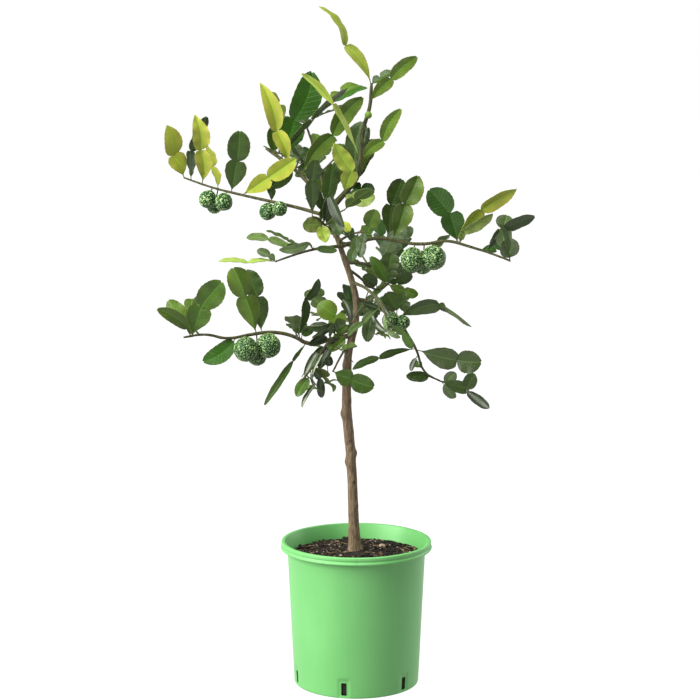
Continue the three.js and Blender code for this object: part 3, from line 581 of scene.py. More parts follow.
def take(owner, points, radius):
    entry = {"owner": owner, "points": np.atleast_2d(points), "radius": radius}
    entry["low"] = entry["points"].min(0)
    entry["high"] = entry["points"].max(0)
    taken.append(entry)
    return entry


def near(points, others, reach):
    """For each point, which of the others are within reach."""
    apart = points[:, None, :] - others[None, :, :]
    return (apart * apart).sum(2) < reach * reach


def has_room(points, owner, skip, to_own=ROOM_TO_OWN, to_others=ROOM_TO_OTHERS):
    low = points.min(0)
    high = points.max(0)
    for other in taken:
        if any(other is one for one in skip):
            continue
        room = to_own if other["owner"] == owner else to_others
        if other["radius"] > 0:
            room = ROOM_TO_LIMB + other["radius"]
        if (low - room > other["high"]).any() or (high + room < other["low"]).any():
            continue
        if near(points, other["points"], room).any():
            return False
    return True


def front_places(points):
    """Where points are seen from in front, on the upright plane through the trunk."""
    points = np.atleast_2d(points)
    share = FRONT_VIEWER[1] / (FRONT_VIEWER[1] - points[:, 1])
    return FRONT_VIEWER[[0, 2]] + (points[:, [0, 2]] - FRONT_VIEWER[[0, 2]]) * share[:, None]


def is_covered(points, cover, reach, least):
    """Whether leaves and limbs that are there already are in front of or behind these points."""
    return near(front_places(points), cover, reach).any(1).mean() >= least


def hidden_share(points, others):
    """The share of these points that stand in front of one of the others."""
    seen_near = near(front_places(points), front_places(others), HIDING_REACH)
    return (seen_near & (points[:, None, 1] < others[None, :, 1] - HIDING_DEPTH)).any(1).mean()


def is_inside(points, reach):
    low, high = reach
    return (points >= low).all() and (points <= high).all()


def wood_samples(path, low, steps):
    return np.array([point_at(path, low + (1 - low) * i / steps) for i in range(steps + 1)])


# Growth


def side_of(i):
    """Twigs and leaves stand on both sides by turns."""
    return 1 if i % 2 == 0 else -1


def carry(limb, leaf, samples):
    limb["leaf_list"].append(leaf)
    take(limb["name"], samples, 0)


def twig_leaf(limb, path, azimuth, rise, draw, i):
    """Leaf i of a side twig, counted from the twig's end."""
    foot = point_at(path, 1 - i * GROWTH["leaf_step"])
    turn = side_of(i) * draw(GROWTH["end_leaf_spread" if i == 0 else "side_leaf_spread"])
    leaf_rise = rise + draw(GROWTH["leaf_rise"]) + limb["droop"] * draw(GROWTH["leaf_droop"])
    shape = [draw(GROWTH["leaf_" + part]) for part in ("length", "width", "roll", "crook")]
    return grown_leaf(foot, azimuth + turn, leaf_rise, *shape)


def grow_twigs(limb, cover):
    """Side twigs, by the rule of the solids: the same draws, and the same test of room."""
    draw = draws_from(limb["seed"])
    looks = random.Random(limb["seed"])
    for i in range(limb["twigs"]):
        stretch = (i + draw(GROWTH["twig_place"])) / limb["twigs"]
        share = limb["bare"] + (1 - limb["bare"]) * stretch
        azimuth = limb["azimuth"] + side_of(i) * draw(GROWTH["twig_spread"])
        rise = draw(GROWTH["twig_rise"]) - limb["droop"]
        slopes = [rise + bend for bend in GROWTH["twig_bend"]]
        path = path_of(point_at(limb["path"], share), azimuth, draw(GROWTH["twig_length"]), slopes)
        samples = wood_samples(path, *TWIG_SAMPLES)
        has_twig = is_covered(samples, cover, *COVER) and has_room(samples, limb["name"], [limb["wood"]])
        own = take(limb["name"], samples, TWIG_RADIUS) if has_twig else None
        leaves_before = len(limb["leaf_list"])
        for j in range(GROWTH["leaves_per_twig"]):
            leaf = twig_leaf(limb, path, azimuth, rise, draw, j)
            samples = leaf_samples(leaf)
            if has_twig and is_covered(samples, cover, *COVER) and has_room(samples, limb["name"], [own]):
                leaf["tone"] = looks.choice(FILL["tones"])
                leaf["fold"] = looks.uniform(*GROWTH["leaf_fold"])
                leaf["curl"] = looks.uniform(*GROWTH["leaf_curl"])
                carry(limb, leaf, samples)
        if len(limb["leaf_list"]) > leaves_before:
            limb["twig_paths"].append((path, azimuth, TWIG_RADIUS))
            limb["stems"].append((path, azimuth, TWIG_BARE, GROWTH["twig_length"][0], own))


def fine_twigs(limb, fill, bare, looks, cover):
    """Fine twigs along a limb, as stems that small leaves can grow on."""
    stems = []
    for i in range(fill["twigs"]):
        share = bare + (1 - bare) * (i + looks.random()) / fill["twigs"]
        azimuth = limb["azimuth"] + looks.choice((-1, 1)) * looks.uniform(*fill["twig_spread"])
        length = looks.uniform(*fill["twig_length"])
        rise = looks.uniform(*fill["twig_rise"])
        slopes = [rise + bend for bend in fill["twig_bend"]]
        path = path_of(point_at(limb["path"], share), azimuth, length, slopes)
        samples = wood_samples(path, *TWIG_SAMPLES)
        if (is_inside(samples, limb["reach"]) and is_covered(samples, cover, *fill["cover"])
                and has_room(samples, limb["name"], [limb["wood"]], *fill["twig_room"])):
            own = take(limb["name"], samples, FINE_TWIG_RADIUS)
            stems.append((path, azimuth, FINE_TWIG_BARE, length, own))
    return stems


def small_leaf(limb, fill, foot, azimuth, looks):
    turn = looks.choice((-1, 1)) * looks.uniform(*fill["spread"])
    rise = looks.uniform(*fill["rise"]) - limb["droop"]
    shape = [looks.uniform(*fill[part]) for part in ("length", "width", "roll", "crook")]
    leaf = grown_leaf(foot, azimuth + turn, rise, *shape)
    leaf["tone"] = looks.choice(fill["tones"])
    for part in ("fold", "curl", "wilt"):
        leaf[part] = looks.uniform(*fill[part])
    leaf["small"] = True
    return leaf


def fill_crown(limb, cover, in_front):
    """Small leaves at the nodes of a limb and its twigs, where the front view already shows foliage."""
    looks = random.Random(limb["seed"] + FILL_SEED)
    fill = HANGING_FILL if limb["hangs"] else FILL
    bare = HANGING_BARE if limb["hangs"] else limb["bare"]
    wood = wood_samples(limb["path"], *WOOD_SAMPLES)
    stems = [(limb["path"], limb["azimuth"], bare, limb["length"], limb["wood"])] + limb["stems"]
    for path, azimuth, start, length, own in stems + fine_twigs(limb, fill, bare, looks, cover):
        leaves_before = len(limb["leaf_list"])
        count = max(1, round(length * (1 - start) / fill["spacing"]))
        for i in range(count):
            share = start + (1 - start) * (i + looks.random()) / count
            leaf = small_leaf(limb, fill, point_at(path, share), azimuth, looks)
            samples = leaf_samples(leaf)
            skip = [own] if near(samples, wood, ROOM_TO_OWN_WOOD).any() else [own, limb["wood"]]
            if (is_inside(samples, limb["reach"]) and is_covered(samples, cover, *fill["cover"])
                    and hidden_share(samples, in_front) <= fill["may_hide"]
                    and has_room(samples, limb["name"], skip, *fill["room"])):
                carry(limb, leaf, samples)
        if own["radius"] == FINE_TWIG_RADIUS and len(limb["leaf_list"]) > leaves_before:
            limb["twig_paths"].append((path, azimuth, FINE_TWIG_RADIUS))


def fruit_middle(limb, fruit):
    at, right, below, behind, _ = fruit
    return point_at(limb["path"], at) + np.array([right, behind, -below])


def fruit_samples(limb, fruit):
    """A fruit's middle and four points around it as seen from in front."""
    aside = fruit[-1] * FRUIT_SAMPLE_REACH
    around = np.array([[0, 0, 0], [aside, 0, 0], [-aside, 0, 0], [0, 0, aside], [0, 0, -aside]])
    return fruit_middle(limb, fruit) + around


def lay_out(limb):
    """Gives a limb its path, its fruits' room and the leaves of its rows; its growth follows later."""
    foot = point_at(trunk_path, limb["start"])
    limb["path"] = path_of(foot, limb["azimuth"], limb["length"], limb["slopes"])
    limb["wood"] = take(limb["name"], wood_samples(limb["path"], *LIMB_SAMPLES), LIMB_ROOM_RADIUS)
    limb["reach"] = [np.array(corner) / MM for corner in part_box("foliage_" + limb["name"])]
    limb["hangs"] = limb["droop"] > HANGING_DROOP
    limb["leaf_list"] = []
    limb["twig_paths"] = []
    limb["stems"] = []
    for fruit in limb["fruits"]:
        take(limb["name"], fruit_middle(limb, fruit), fruit[-1])
    for row in limb["leaves"]:
        leaf = leaf_from_row(limb["path"], row)
        leaf["wilt"] = WILT_OF_HANGING if limb["hangs"] else 0
        carry(limb, leaf, leaf_samples(leaf))


trunk_path = path_of(TRUNK_FOOT, TRUNK["azimuth"], TRUNK["length"], TRUNK["slopes"])
take("trunk", wood_samples(trunk_path, *TRUNK_SAMPLES), TRUNK_ROOM_RADIUS)
for limb in LIMBS:
    lay_out(limb)
front_cover = np.concatenate([front_places(entry["points"]) for entry in taken])
front_growth = np.concatenate([front_places(entry["points"]) for entry in taken if entry["owner"] != "trunk"])
front_leaves = np.concatenate([leaf_samples(leaf) for limb in LIMBS for leaf in limb["leaf_list"]])
front_fruits = np.concatenate([fruit_samples(limb, fruit) for limb in LIMBS for fruit in limb["fruits"]])
for limb in LIMBS:
    grow_twigs(limb, front_cover)
in_front = np.concatenate([front_leaves, front_fruits])
for limb in LIMBS:
    fill_crown(limb, front_growth if limb["hangs"] else front_places(front_leaves), in_front)


# Meshes


def add_to_scene(name, data):
    made = bpy.data.objects.new(name, data)
    bpy.context.scene.collection.objects.link(made)
    return made


class Pile:
    """Meshes gathered into one object: points in millimetres, faces, slots and a mark for each point."""

    def __init__(self):
        self.points = []
        self.faces = []
        self.slots = []
        self.marks = []
        self.count = 0

    def add(self, points, faces, slots=0, marks=None):
        points = np.asarray(points, float)
        self.points.append(points)
        self.faces += [tuple(corner + self.count for corner in face) for face in faces]
        self.slots += [slots] * len(faces) if isinstance(slots, int) else list(slots)
        self.marks.append(np.zeros((len(points), 3)) if marks is None else np.asarray(marks, float))
        self.count += len(points)

    def add_tube(self, *shape):
        """Adds a limb or twig as `tube` makes it."""
        points, faces, marks = tube(*shape)
        self.add(points, faces, 0, marks)

    def build(self, name, materials, nodes=(), sharp=50):
        mesh = bpy.data.meshes.new(name)
        points = np.concatenate(self.points) * MM
        mesh.from_pydata(points.tolist(), [], self.faces)
        for material in materials:
            mesh.materials.append(material)
        mesh.polygons.foreach_set("material_index", self.slots)
        mesh.polygons.foreach_set("use_smooth", [True] * len(self.faces))
        mark = mesh.attributes.new("mark", "FLOAT_VECTOR", "POINT")
        mark.data.foreach_set("vector", np.concatenate(self.marks).ravel())
        mesh.set_sharp_from_angle(angle=math.radians(sharp))
        mesh.update()
        piece = add_to_scene(name, mesh)
        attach(piece, "root")
        if nodes:
            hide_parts(*nodes)
        return piece


def smooth_path(path, count):
    """A path laid out again as a smooth curve of even steps."""
    before = np.concatenate([[2 * path[0] - path[1]], path[:-1]])
    after = np.concatenate([path[1:], [2 * path[-1] - path[-2]]])
    tangent = (after - before) / 2
    place = np.linspace(0, len(path) - 1, count)
    low = np.minimum(place.astype(int), len(path) - 2)
    t = (place - low)[:, None]
    a, b, ta, tb = path[low], path[low + 1], tangent[low], tangent[low + 1]
    return ((2 * t**3 - 3 * t**2 + 1) * a + (t**3 - 2 * t**2 + t) * ta
            + (3 * t**2 - 2 * t**3) * b + (t**3 - t**2) * tb)


def ring_faces(rings, sides):
    """Quads between rings, and a fan to a middle point at each end."""
    faces = []
    for i in range(rings - 1):
        for j in range(sides):
            k = (j + 1) % sides
            faces.append((i * sides + j, i * sides + k, (i + 1) * sides + k, (i + 1) * sides + j))
    foot = rings * sides
    last = (rings - 1) * sides
    for j in range(sides):
        k = (j + 1) % sides
        faces.append((foot, k, j))
        faces.append((foot + 1, last + j, last + k))
    return faces


def tube(path, azimuth, radius_at, sides, spacing, relief=None):
    """A limb or twig as points, faces and marks; relief says how far each point of it stands out."""
    length = np.linalg.norm(np.diff(path, axis=0), axis=1).sum()
    rings = max(3, round(length / spacing) + 1)
    middle = smooth_path(path, rings)
    tangent = np.gradient(middle, axis=0)
    tangent /= np.linalg.norm(tangent, axis=1)[:, None]
    across = direction(azimuth + 90, 0)
    across = across - tangent * (tangent @ across)[:, None]
    across /= np.linalg.norm(across, axis=1)[:, None]
    up = np.cross(tangent, across)
    share = np.linspace(0, 1, rings)
    radius = np.array([radius_at(s) for s in share])
    turn = np.arange(sides) * 2 * math.pi / sides
    outward = (across[:, None, :] * np.cos(turn)[None, :, None]
               + up[:, None, :] * np.sin(turn)[None, :, None])
    reach = np.repeat(radius[:, None], sides, axis=1)
    marks = np.zeros((rings * sides, 3))
    if relief:
        places = (middle[:, None, :] + outward * reach[:, :, None]).reshape(-1, 3)
        out, marks = relief(places, outward.reshape(-1, 3))
        reach = reach + out.reshape(rings, sides)
    points = (middle[:, None, :] + outward * reach[:, :, None]).reshape(-1, 3)
    points = np.concatenate([points, middle[:1], middle[-1:]])
    marks = np.concatenate([marks, marks[:1], marks[-1:]])
    marks[:, 0] = np.concatenate([np.repeat(share, sides), [0, 1]])
    return points, ring_faces(rings, sides), marks


def ball(detail):
    """The points and faces of a ball of radius 1."""
    shape = bmesh.new()
    bmesh.ops.create_icosphere(shape, subdivisions=detail, radius=1)
    points = np.array([corner.co for corner in shape.verts])
    faces = [tuple(corner.index for corner in face.verts) for face in shape.faces]
    shape.free()
    return points, faces


# Leaf meshes

# A wing takes up this share of its stalk and no more than so many blades. Its width grows with its length,
# as wide as the blade at FULL_WING of the blade's length, but stays under WING_WIDTH of it. Below
# SHORTEST_WING there is none.
WING_OF_STALK = 0.9
WING_OF_BLADE = 1.5
WING_WIDTH = 0.95
FULL_WING = 0.7
SHORTEST_WING = 9
# Rows down the wing and down the blade, and columns across
LEAF_GRID = (13, 19, np.array([-1, -0.74, -0.47, -0.22, -0.07, 0, 0.07, 0.22, 0.47, 0.74, 1]))
SMALL_LEAF_GRID = (8, 13, np.array([-1, -0.6, -0.12, 0, 0.12, 0.6, 1]))
# The edge: every second row is drawn in a little between these shares of the length
TOOTH = 0.965
TOOTHED = (0.1, 0.96)
LEAST_HALF_WIDTH = 0.8
TIP_WIDTH = 0.04
# The notch at the tip and the shoulders of the wing, as shares of the width
NOTCH = 0.05
SHOULDER = 0.1
SHOULDER_FROM = 0.7
SHOULDER_LENGTH = 0.3
# The rib stands out below and lies in a shallow hollow above
LEAF_HALF_THICKNESS = 0.2
RIB_REACH = 1.1
RIB_DEPTH = 0.5
RIB_HOLLOW = 0.12
RIB_TAPER = 0.7
# How leaves differ: arch, hooked tip, fold, cup and waves. A pair is the range that a draw falls in.
ARCHES = (1, 1, 1, -0.6)
VARIETY = {
    "pointed": (0.6, 1),
    "bow": (-0.035, 0.035),
    "hook": (-0.02, 0.16),
    "fold": (0.85, 1.15),
    "cup": (-0.12, 0.22),
    "waves": (1.5, 3.2),
    "swing": (0.015, 0.05),
    "phase": (0, 2 * math.pi),
}
HOOK_FROM = 0.55
SMALL_SWING = 0.5
WAVE_RISE = 1.6
WAVE_SHIFT = 1.9

TONES = ["young", "yellow", "lemon", "lime", "pale", "bright", "fresh", "mid", "olive", "deep", "dark",
         "shade", "grey", "silver", "streaked"]
POINTED = {"young": 1.0, "yellow": 0.5, "lemon": 0.6, "lime": 1.0}


def blade_width(t, point):
    """Half the outline of a blade, 0 to 1, down its length; point draws the tip out."""
    middle = 0.47 - 0.08 * point
    low = np.clip((middle - t) / middle, 0, 1)
    high = np.clip((t - middle) / (1 - middle), 0, 1)
    base = np.sqrt(1 - low ** 2.4)
    tip = (1 - high ** (2.3 - 0.5 * point)) ** (0.6 + 0.3 * point)
    return np.where(t < middle, base, tip)


def wing_width(t):
    """Half the outline of a winged stalk, 0 to 1: a wedge at its foot and round shoulders at the joint."""
    middle = 0.72
    low = np.clip((middle - t) / middle, 0, 1)
    high = np.clip((t - middle) / (1 - middle), 0, 1)
    return np.where(t < middle, np.cos(math.pi / 2 * low) ** 1.05, (1 - high ** 2.4) ** 0.5)


def eased(count):
    """Shares from 0 to 1, closer together near both ends."""
    even = np.linspace(0, 1, count)
    return 0.45 * even + 0.55 * (1 - np.cos(math.pi * even)) / 2


@functools.cache
def grid_faces(rows, columns):
    """A leaf's upper faces, and its lower ones with the thin wall round its edge."""
    under = rows * columns
    last = columns - 1
    end = rows - 1

    def at(i, j):
        return i * columns + j

    cells = [(i, j) for i in range(end) for j in range(last)]
    upper = [(at(i, j), at(i + 1, j), at(i + 1, j + 1), at(i, j + 1)) for i, j in cells]
    lower = [(under + a, under + d, under + c, under + b) for a, b, c, d in upper]
    for i in range(end):
        lower.append((at(i, 0), under + at(i, 0), under + at(i + 1, 0), at(i + 1, 0)))
        lower.append((at(i, last), at(i + 1, last), under + at(i + 1, last), under + at(i, last)))
    for j in range(last):
        lower.append((at(0, j), at(0, j + 1), under + at(0, j + 1), under + at(0, j)))
        lower.append((at(end, j), under + at(end, j), under + at(end, j + 1), at(end, j + 1)))
    return upper, lower


def leaf_rows(leaf, point, wing_rows, blade_rows):
    """A leaf row by row: share of its part, whether it is the blade, the part's length, place, half width."""
    stalk = leaf["stalk"]
    blade = leaf["blade"]
    width = leaf["width"]
    t = eased(blade_rows)
    on_blade = np.ones(blade_rows, bool)
    size = np.full(blade_rows, blade)
    place = stalk + blade * t
    half = width / 2 * blade_width(t, point)
    half[-1] = width * TIP_WIDTH * (1.6 - point)
    wing = min(stalk * WING_OF_STALK, blade * WING_OF_BLADE)
    if wing > SHORTEST_WING:
        t_wing = eased(wing_rows)[:-1]
        wide = width * min(WING_WIDTH, wing / (blade * FULL_WING))
        t = np.concatenate([t_wing, t])
        on_blade = np.concatenate([np.zeros(len(t_wing), bool), on_blade])
        size = np.concatenate([np.full(len(t_wing), wing), size])
        place = np.concatenate([stalk - wing + wing * t_wing, place])
        half = np.concatenate([wide / 2 * wing_width(t_wing), half])
    toothed = (np.arange(len(t)) % 2 == 0) & (t > TOOTHED[0]) & (t < TOOTHED[1])
    return t, on_blade, size, place, np.maximum(half * np.where(toothed, TOOTH, 1.0), LEAST_HALF_WIDTH)


def leaf_surface(leaf, point, columns, rows, looks):
    """The middle of a leaf's thickness as a grid of points: arched, hooked, folded and waved."""
    t, on_blade, size, place, half = rows
    width = leaf["width"]
    middle, face, across, along = leaf_frame(leaf, place)
    hump = (4 * t * (1 - t) * size)[:, None]
    bow = looks.uniform(*VARIETY["bow"])
    middle = middle + face * hump * leaf["curl"] * looks.choice(ARCHES) + across * hump * bow
    hook = looks.uniform(*VARIETY["hook"]) + leaf["wilt"]
    hooked = np.where(on_blade, np.maximum(t - HOOK_FROM, 0) ** 2, 0) * size * hook
    middle = middle - face * hooked[:, None]

    v = columns[None, :]
    side = half[:, None] * v
    fold = math.radians(leaf["fold"]) * looks.uniform(*VARIETY["fold"])
    cup = looks.uniform(*VARIETY["cup"])
    lift = np.abs(side) * math.sin(fold) - cup * side**2 / max(width, 1)
    waves = looks.uniform(*VARIETY["waves"])
    swing = looks.uniform(*VARIETY["swing"]) * width * (SMALL_SWING if leaf["small"] else 1)
    phase = looks.uniform(*VARIETY["phase"])
    wave = np.sin(2 * math.pi * waves * t[:, None] + phase + WAVE_SHIFT * np.sign(v))
    lift = lift + swing * np.abs(v) ** WAVE_RISE * wave
    surface = (middle[:, None, :] + across[:, None, :] * (side * math.cos(fold))[:, :, None]
               + face[:, None, :] * lift[:, :, None])
    notch = width * NOTCH * (1 - point) * (1 - np.abs(columns)) ** 2
    surface[-1] -= along[-1] * notch[:, None]
    raised = np.where(on_blade, 0, np.maximum(t - SHOULDER_FROM, 0) / SHOULDER_LENGTH)[:, None]
    surface += along[:, None, :] * (raised * np.abs(v) ** 1.5 * width * SHOULDER)[:, :, None]
    return surface, side


def add_leaf(pile, leaf, looks):
    """One leaf: its winged stalk and its blade as one thin closed mesh. Gives where its stalk widens."""
    wing_rows, blade_rows, columns = SMALL_LEAF_GRID if leaf["small"] else LEAF_GRID
    point = POINTED.get(leaf["tone"], 0) * looks.uniform(*VARIETY["pointed"])
    rows = leaf_rows(leaf, point, wing_rows, blade_rows)
    t, on_blade, _, place, _ = rows
    surface, side = leaf_surface(leaf, point, columns, rows, looks)
    normal = np.cross(np.gradient(surface, axis=0), np.gradient(surface, axis=1))
    normal /= np.linalg.norm(normal, axis=2)[:, :, None]
    rib = np.exp(-((side / RIB_REACH) ** 2))
    above = LEAF_HALF_THICKNESS - RIB_HOLLOW * rib
    below = LEAF_HALF_THICKNESS + RIB_DEPTH * rib * (1 - RIB_TAPER * t[:, None] * on_blade[:, None])
    top = surface + normal * above[:, :, None]
    bottom = surface - normal * below[:, :, None]
    marks = np.zeros(surface.shape)
    marks[:, :, 0] = t[:, None]
    marks[:, :, 1] = columns
    marks[:, :, 2] = looks.random()
    marks = marks.reshape(-1, 3)
    upper, lower = grid_faces(len(t), len(columns))
    under = len(TONES) + (1 if leaf["tone"] in POINTED else 0)
    slots = [TONES.index(leaf["tone"])] * len(upper) + [under] * len(lower)
    pile.add(np.concatenate([top.reshape(-1, 3), bottom.reshape(-1, 3)]), upper + lower, slots,
             np.concatenate([marks, marks]))
    return place[0]


PETIOLE_POINTS = 6
PETIOLE_SAG = 0.02
PETIOLE_IN_LIMB = 1.5


def add_petiole(pile, leaf, reach):
    """The bare foot of a leaf's stalk, from inside the limb to where the leaf widens."""
    end = min(reach + 3, leaf["stalk"] + 2)
    middle, face, _, _ = leaf_frame(leaf, np.linspace(-PETIOLE_IN_LIMB, end, PETIOLE_POINTS))
    sag = np.sin(np.linspace(0, math.pi, PETIOLE_POINTS))[:, None] * PETIOLE_SAG * end
    azimuth = math.degrees(math.atan2(leaf["along"][1], leaf["along"][0]))
    thick = 0.65 + 0.006 * leaf["width"]
    pile.add_tube(middle + face * sag, azimuth, lambda s: thick * (1.35 - 0.5 * min(1, 3 * s)), 7, 2.5)


# Materials


class Shading:
    """A material with one Principled shader, and short calls for the nodes that feed it."""

    def __init__(self, name, roughness=0.5, specular=0.5, coat=0.0, coat_roughness=0.2):
        self.material = bpy.data.materials.new(name)
        self.material.use_nodes = True
        self.tree = self.material.node_tree
        self.shader = self.tree.nodes["Principled BSDF"]
        self.shader.inputs["Roughness"].default_value = roughness
        self.shader.inputs["Specular IOR Level"].default_value = specular
        self.shader.inputs["Coat Weight"].default_value = coat
        self.shader.inputs["Coat Roughness"].default_value = coat_roughness
        self.where = self.node("ShaderNodeTexCoord").outputs["Object"]

    def node(self, kind, inputs=(), **settings):
        made = self.tree.nodes.new(kind)
        for key, value in settings.items():
            setattr(made, key, value)
        for key, value in dict(inputs).items():
            self.feed(made.inputs[key], value)
        return made

    def feed(self, socket, value):
        if isinstance(value, bpy.types.NodeSocket):
            self.tree.links.new(value, socket)
        else:
            socket.default_value = value

    def math(self, operation, a, b=0.0, c=0.0):
        return self.node("ShaderNodeMath", {0: a, 1: b, 2: c}, operation=operation).outputs[0]

    def noise(self, scale, detail=3.0, stretch=None, distortion=0.0):
        """Noise in cells of 1/scale metres; stretch squeezes it along the axes."""
        where = self.where
        if stretch:
            where = self.node("ShaderNodeMapping", {"Vector": where, "Scale": stretch}).outputs[0]
        return self.node("ShaderNodeTexNoise", {
            "Vector": where, "Scale": scale, "Detail": detail, "Distortion": distortion}).outputs[0]

    def ramp(self, value, low, high, start=0.0, end=1.0):
        return self.node("ShaderNodeMapRange", {
            0: value, 1: low, 2: high, 3: start, 4: end}, interpolation_type="SMOOTHSTEP").outputs[0]

    def mix(self, share, a, b):
        made = self.node("ShaderNodeMix", data_type="RGBA")
        self.feed(made.inputs[0], share)
        for socket, tint in ((made.inputs[6], a), (made.inputs[7], b)):
            self.feed(socket, tint if isinstance(tint, bpy.types.NodeSocket) else colour(*tint))
        return made.outputs[2]

    def lay(self, tint, over, value, low, high, start=0.0, end=1.0):
        """A colour with another laid over it as a value rises from low to high."""
        return self.mix(self.ramp(value, low, high, start, end), tint, over)

    def shade(self, tint, amount):
        """A colour made lighter or darker by a value around 1."""
        return self.node("ShaderNodeHueSaturation", {"Color": tint, "Value": amount}).outputs[0]

    def mark(self):
        made = self.node("ShaderNodeAttribute", attribute_name="mark")
        return self.node("ShaderNodeSeparateXYZ", {0: made.outputs["Vector"]}).outputs

    def bump(self, height, distance, strength=1.0, under=None):
        inputs = {"Height": height, "Distance": distance * MM, "Strength": strength}
        if under:
            inputs["Normal"] = under
        return self.node("ShaderNodeBump", inputs).outputs[0]

    def finish(self, tint, roughness=None, normal=None):
        self.feed(self.shader.inputs["Base Color"], tint)
        if roughness:
            self.feed(self.shader.inputs["Roughness"], roughness)
        if normal:
            self.feed(self.shader.inputs["Normal"], normal)
        return self.material


def colour(red, green, blue):
    """A colour given as a screen shows it, 0 to 255, as opaque linear light, 0 to 1."""
    parts = []
    for value in (red, green, blue):
        share = value / 255
        parts.append(share / 12.92 if share <= 0.04045 else ((share + 0.055) / 1.055) ** 2.4)
    return (*parts, 1.0)


# Each tone of leaf: the upper face, its midrib, and how rough its gloss is
LEAF_COLOURS = {
    "young": ((190, 192, 66), (208, 212, 100), 0.58),
    "yellow": ((184, 190, 58), (206, 208, 98), 0.5),
    "lemon": ((162, 176, 60), (192, 202, 104), 0.48),
    "lime": ((134, 142, 42), (164, 170, 74), 0.6),
    "pale": ((146, 162, 80), (180, 192, 122), 0.48),
    "bright": ((108, 136, 26), (142, 162, 66), 0.42),
    "fresh": ((74, 106, 20), (116, 140, 58), 0.4),
    "mid": ((86, 112, 18), (124, 144, 54), 0.4),
    "olive": ((80, 96, 18), (114, 128, 48), 0.4),
    "deep": ((46, 88, 2), (76, 114, 18), 0.4),
    "dark": ((54, 78, 14), (84, 106, 36), 0.4),
    "shade": ((34, 50, 18), (104, 118, 84), 0.34),
    "grey": ((74, 94, 44), (114, 132, 80), 0.4),
    "silver": ((112, 130, 90), (160, 172, 138), 0.42),
    # Its pale midrib colour is also laid over the leaf's middle in streaks, as painted sheen
    "streaked": ((62, 78, 48), (186, 194, 170), 0.36),
}
# How strongly the rib's pale tone spreads in streaks over the middle of a leaf: painted sheen
PAINTED_SHEEN_MIDDLE = {"shade": 0.25, "streaked": 0.9}
VEINS_PER_BLADE = 9
VEIN_SLANT = 1.7
# Patches are this much darker, and the skin beside the rib has this much of the red and blue
PATCH_SHADE = 0.84
LUSH = (0.84, 1, 0.45)


def leaf_material(name, face, rib, roughness, specular=0.42):
    """Leaf skin: a pale midrib, slanting side veins, patches of tone, pale streaks of painted sheen on some
    tones, and a faint grain.
    """
    skin = Shading("leaf_" + name, roughness, specular)
    along, across, seed = skin.mark()
    from_rib = skin.math("ABSOLUTE", across)
    on_rib = skin.ramp(from_rib, 0.03, 0.09, 1.0, 0.0)
    slanted = skin.math("MULTIPLY_ADD", from_rib, -VEIN_SLANT, skin.math("MULTIPLY", along, VEINS_PER_BLADE))
    off_vein = skin.math("PINGPONG", skin.math("ADD", slanted, seed), 0.5)
    on_vein = skin.ramp(off_vein, 0.0, 0.09, 1.0, 0.0)
    patches = skin.noise(70, 4)
    patched = 0.35 if name in POINTED else 0.9
    tint = skin.lay(face, [part * PATCH_SHADE for part in face], patches, 0.3, 0.7, 0.0, patched)
    tint = skin.lay(tint, [part * share for part, share in zip(face, LUSH)], from_rib, 0.05, 0.7, 0.75, 0.0)
    # Pale streaks of the rib's tone over the middle of the leaf: painted sheen
    if name in PAINTED_SHEEN_MIDDLE:
        sheen_streaks = skin.math("MULTIPLY", patches, 2 * PAINTED_SHEEN_MIDDLE[name])
        tint = skin.mix(skin.math("MULTIPLY", skin.ramp(from_rib, 0.1, 0.6, 1.0, 0.0), sheen_streaks), tint, rib)
    tint = skin.mix(skin.math("MULTIPLY", on_vein, 0.12), tint, rib)
    tint = skin.mix(skin.math("MULTIPLY", on_rib, 0.5), tint, rib)
    tint = skin.lay(tint, rib, from_rib, 0.92, 1.0, 0.0, 0.2)
    tint = skin.shade(tint, skin.ramp(seed, 0.0, 1.0, 0.86, 1.14))
    grain = skin.bump(skin.noise(500, 2), 0.05, 0.4)
    crinkled = skin.bump(skin.noise(140, 2), 0.3, 0.6, grain)
    quilted = skin.bump(on_vein, -0.05 if name in POINTED else -0.2, 1.0, crinkled)
    gloss = skin.ramp(patches, 0.2, 0.8, roughness - 0.06, roughness + 0.1)
    return skin.finish(tint, gloss, quilted)


def leaf_materials():
    made = [leaf_material(tone, *LEAF_COLOURS[tone]) for tone in TONES]
    made.append(leaf_material("under", (94, 116, 50), (126, 144, 80), 0.55, 0.25))
    made.append(leaf_material("under_young", (156, 172, 84), (184, 194, 118), 0.55, 0.2))
    return made


def bark_material():
    """Grey-brown bark in long fine furrows, greener and smoother up the trunk; marks say where a scar is."""
    bark = Shading("bark", 0.8, 0.3)
    _, scar, young = bark.mark()
    furrows = bark.noise(520, 6, (1, 1, 0.16), 0.4)
    patches = bark.noise(90, 4, (1, 1, 0.4))
    spots = bark.noise(900, 2, (1, 1, 1.8))
    old = bark.lay((92, 74, 56), (144, 124, 98), furrows, 0.36, 0.66)
    old = bark.lay(old, (118, 96, 72), patches, 0.35, 0.7, 0.0, 0.5)
    green = bark.lay((50, 54, 26), (90, 88, 52), furrows, 0.35, 0.65)
    tint = bark.mix(young, old, green)
    tint = bark.lay(tint, (178, 168, 146), spots, 0.66, 0.74, 0.0, 0.5)
    tint = bark.mix(scar, tint, (44, 34, 28))
    return bark.finish(tint, None, bark.bump(furrows, 0.5, 0.8, bark.bump(spots, 0.2, 0.5)))


def twig_material():
    """Green bark of the young wood, with pale flecks, browner in patches."""
    twig = Shading("twig_bark", 0.55, 0.4)
    grain = twig.noise(700, 4)
    tint = twig.lay((70, 88, 36), (80, 76, 48), twig.noise(45, 3), 0.35, 0.7)
    tint = twig.lay(tint, (134, 140, 88), grain, 0.62, 0.74, 0.0, 0.4)
    return twig.finish(tint, None, twig.bump(grain, 0.12, 0.6))


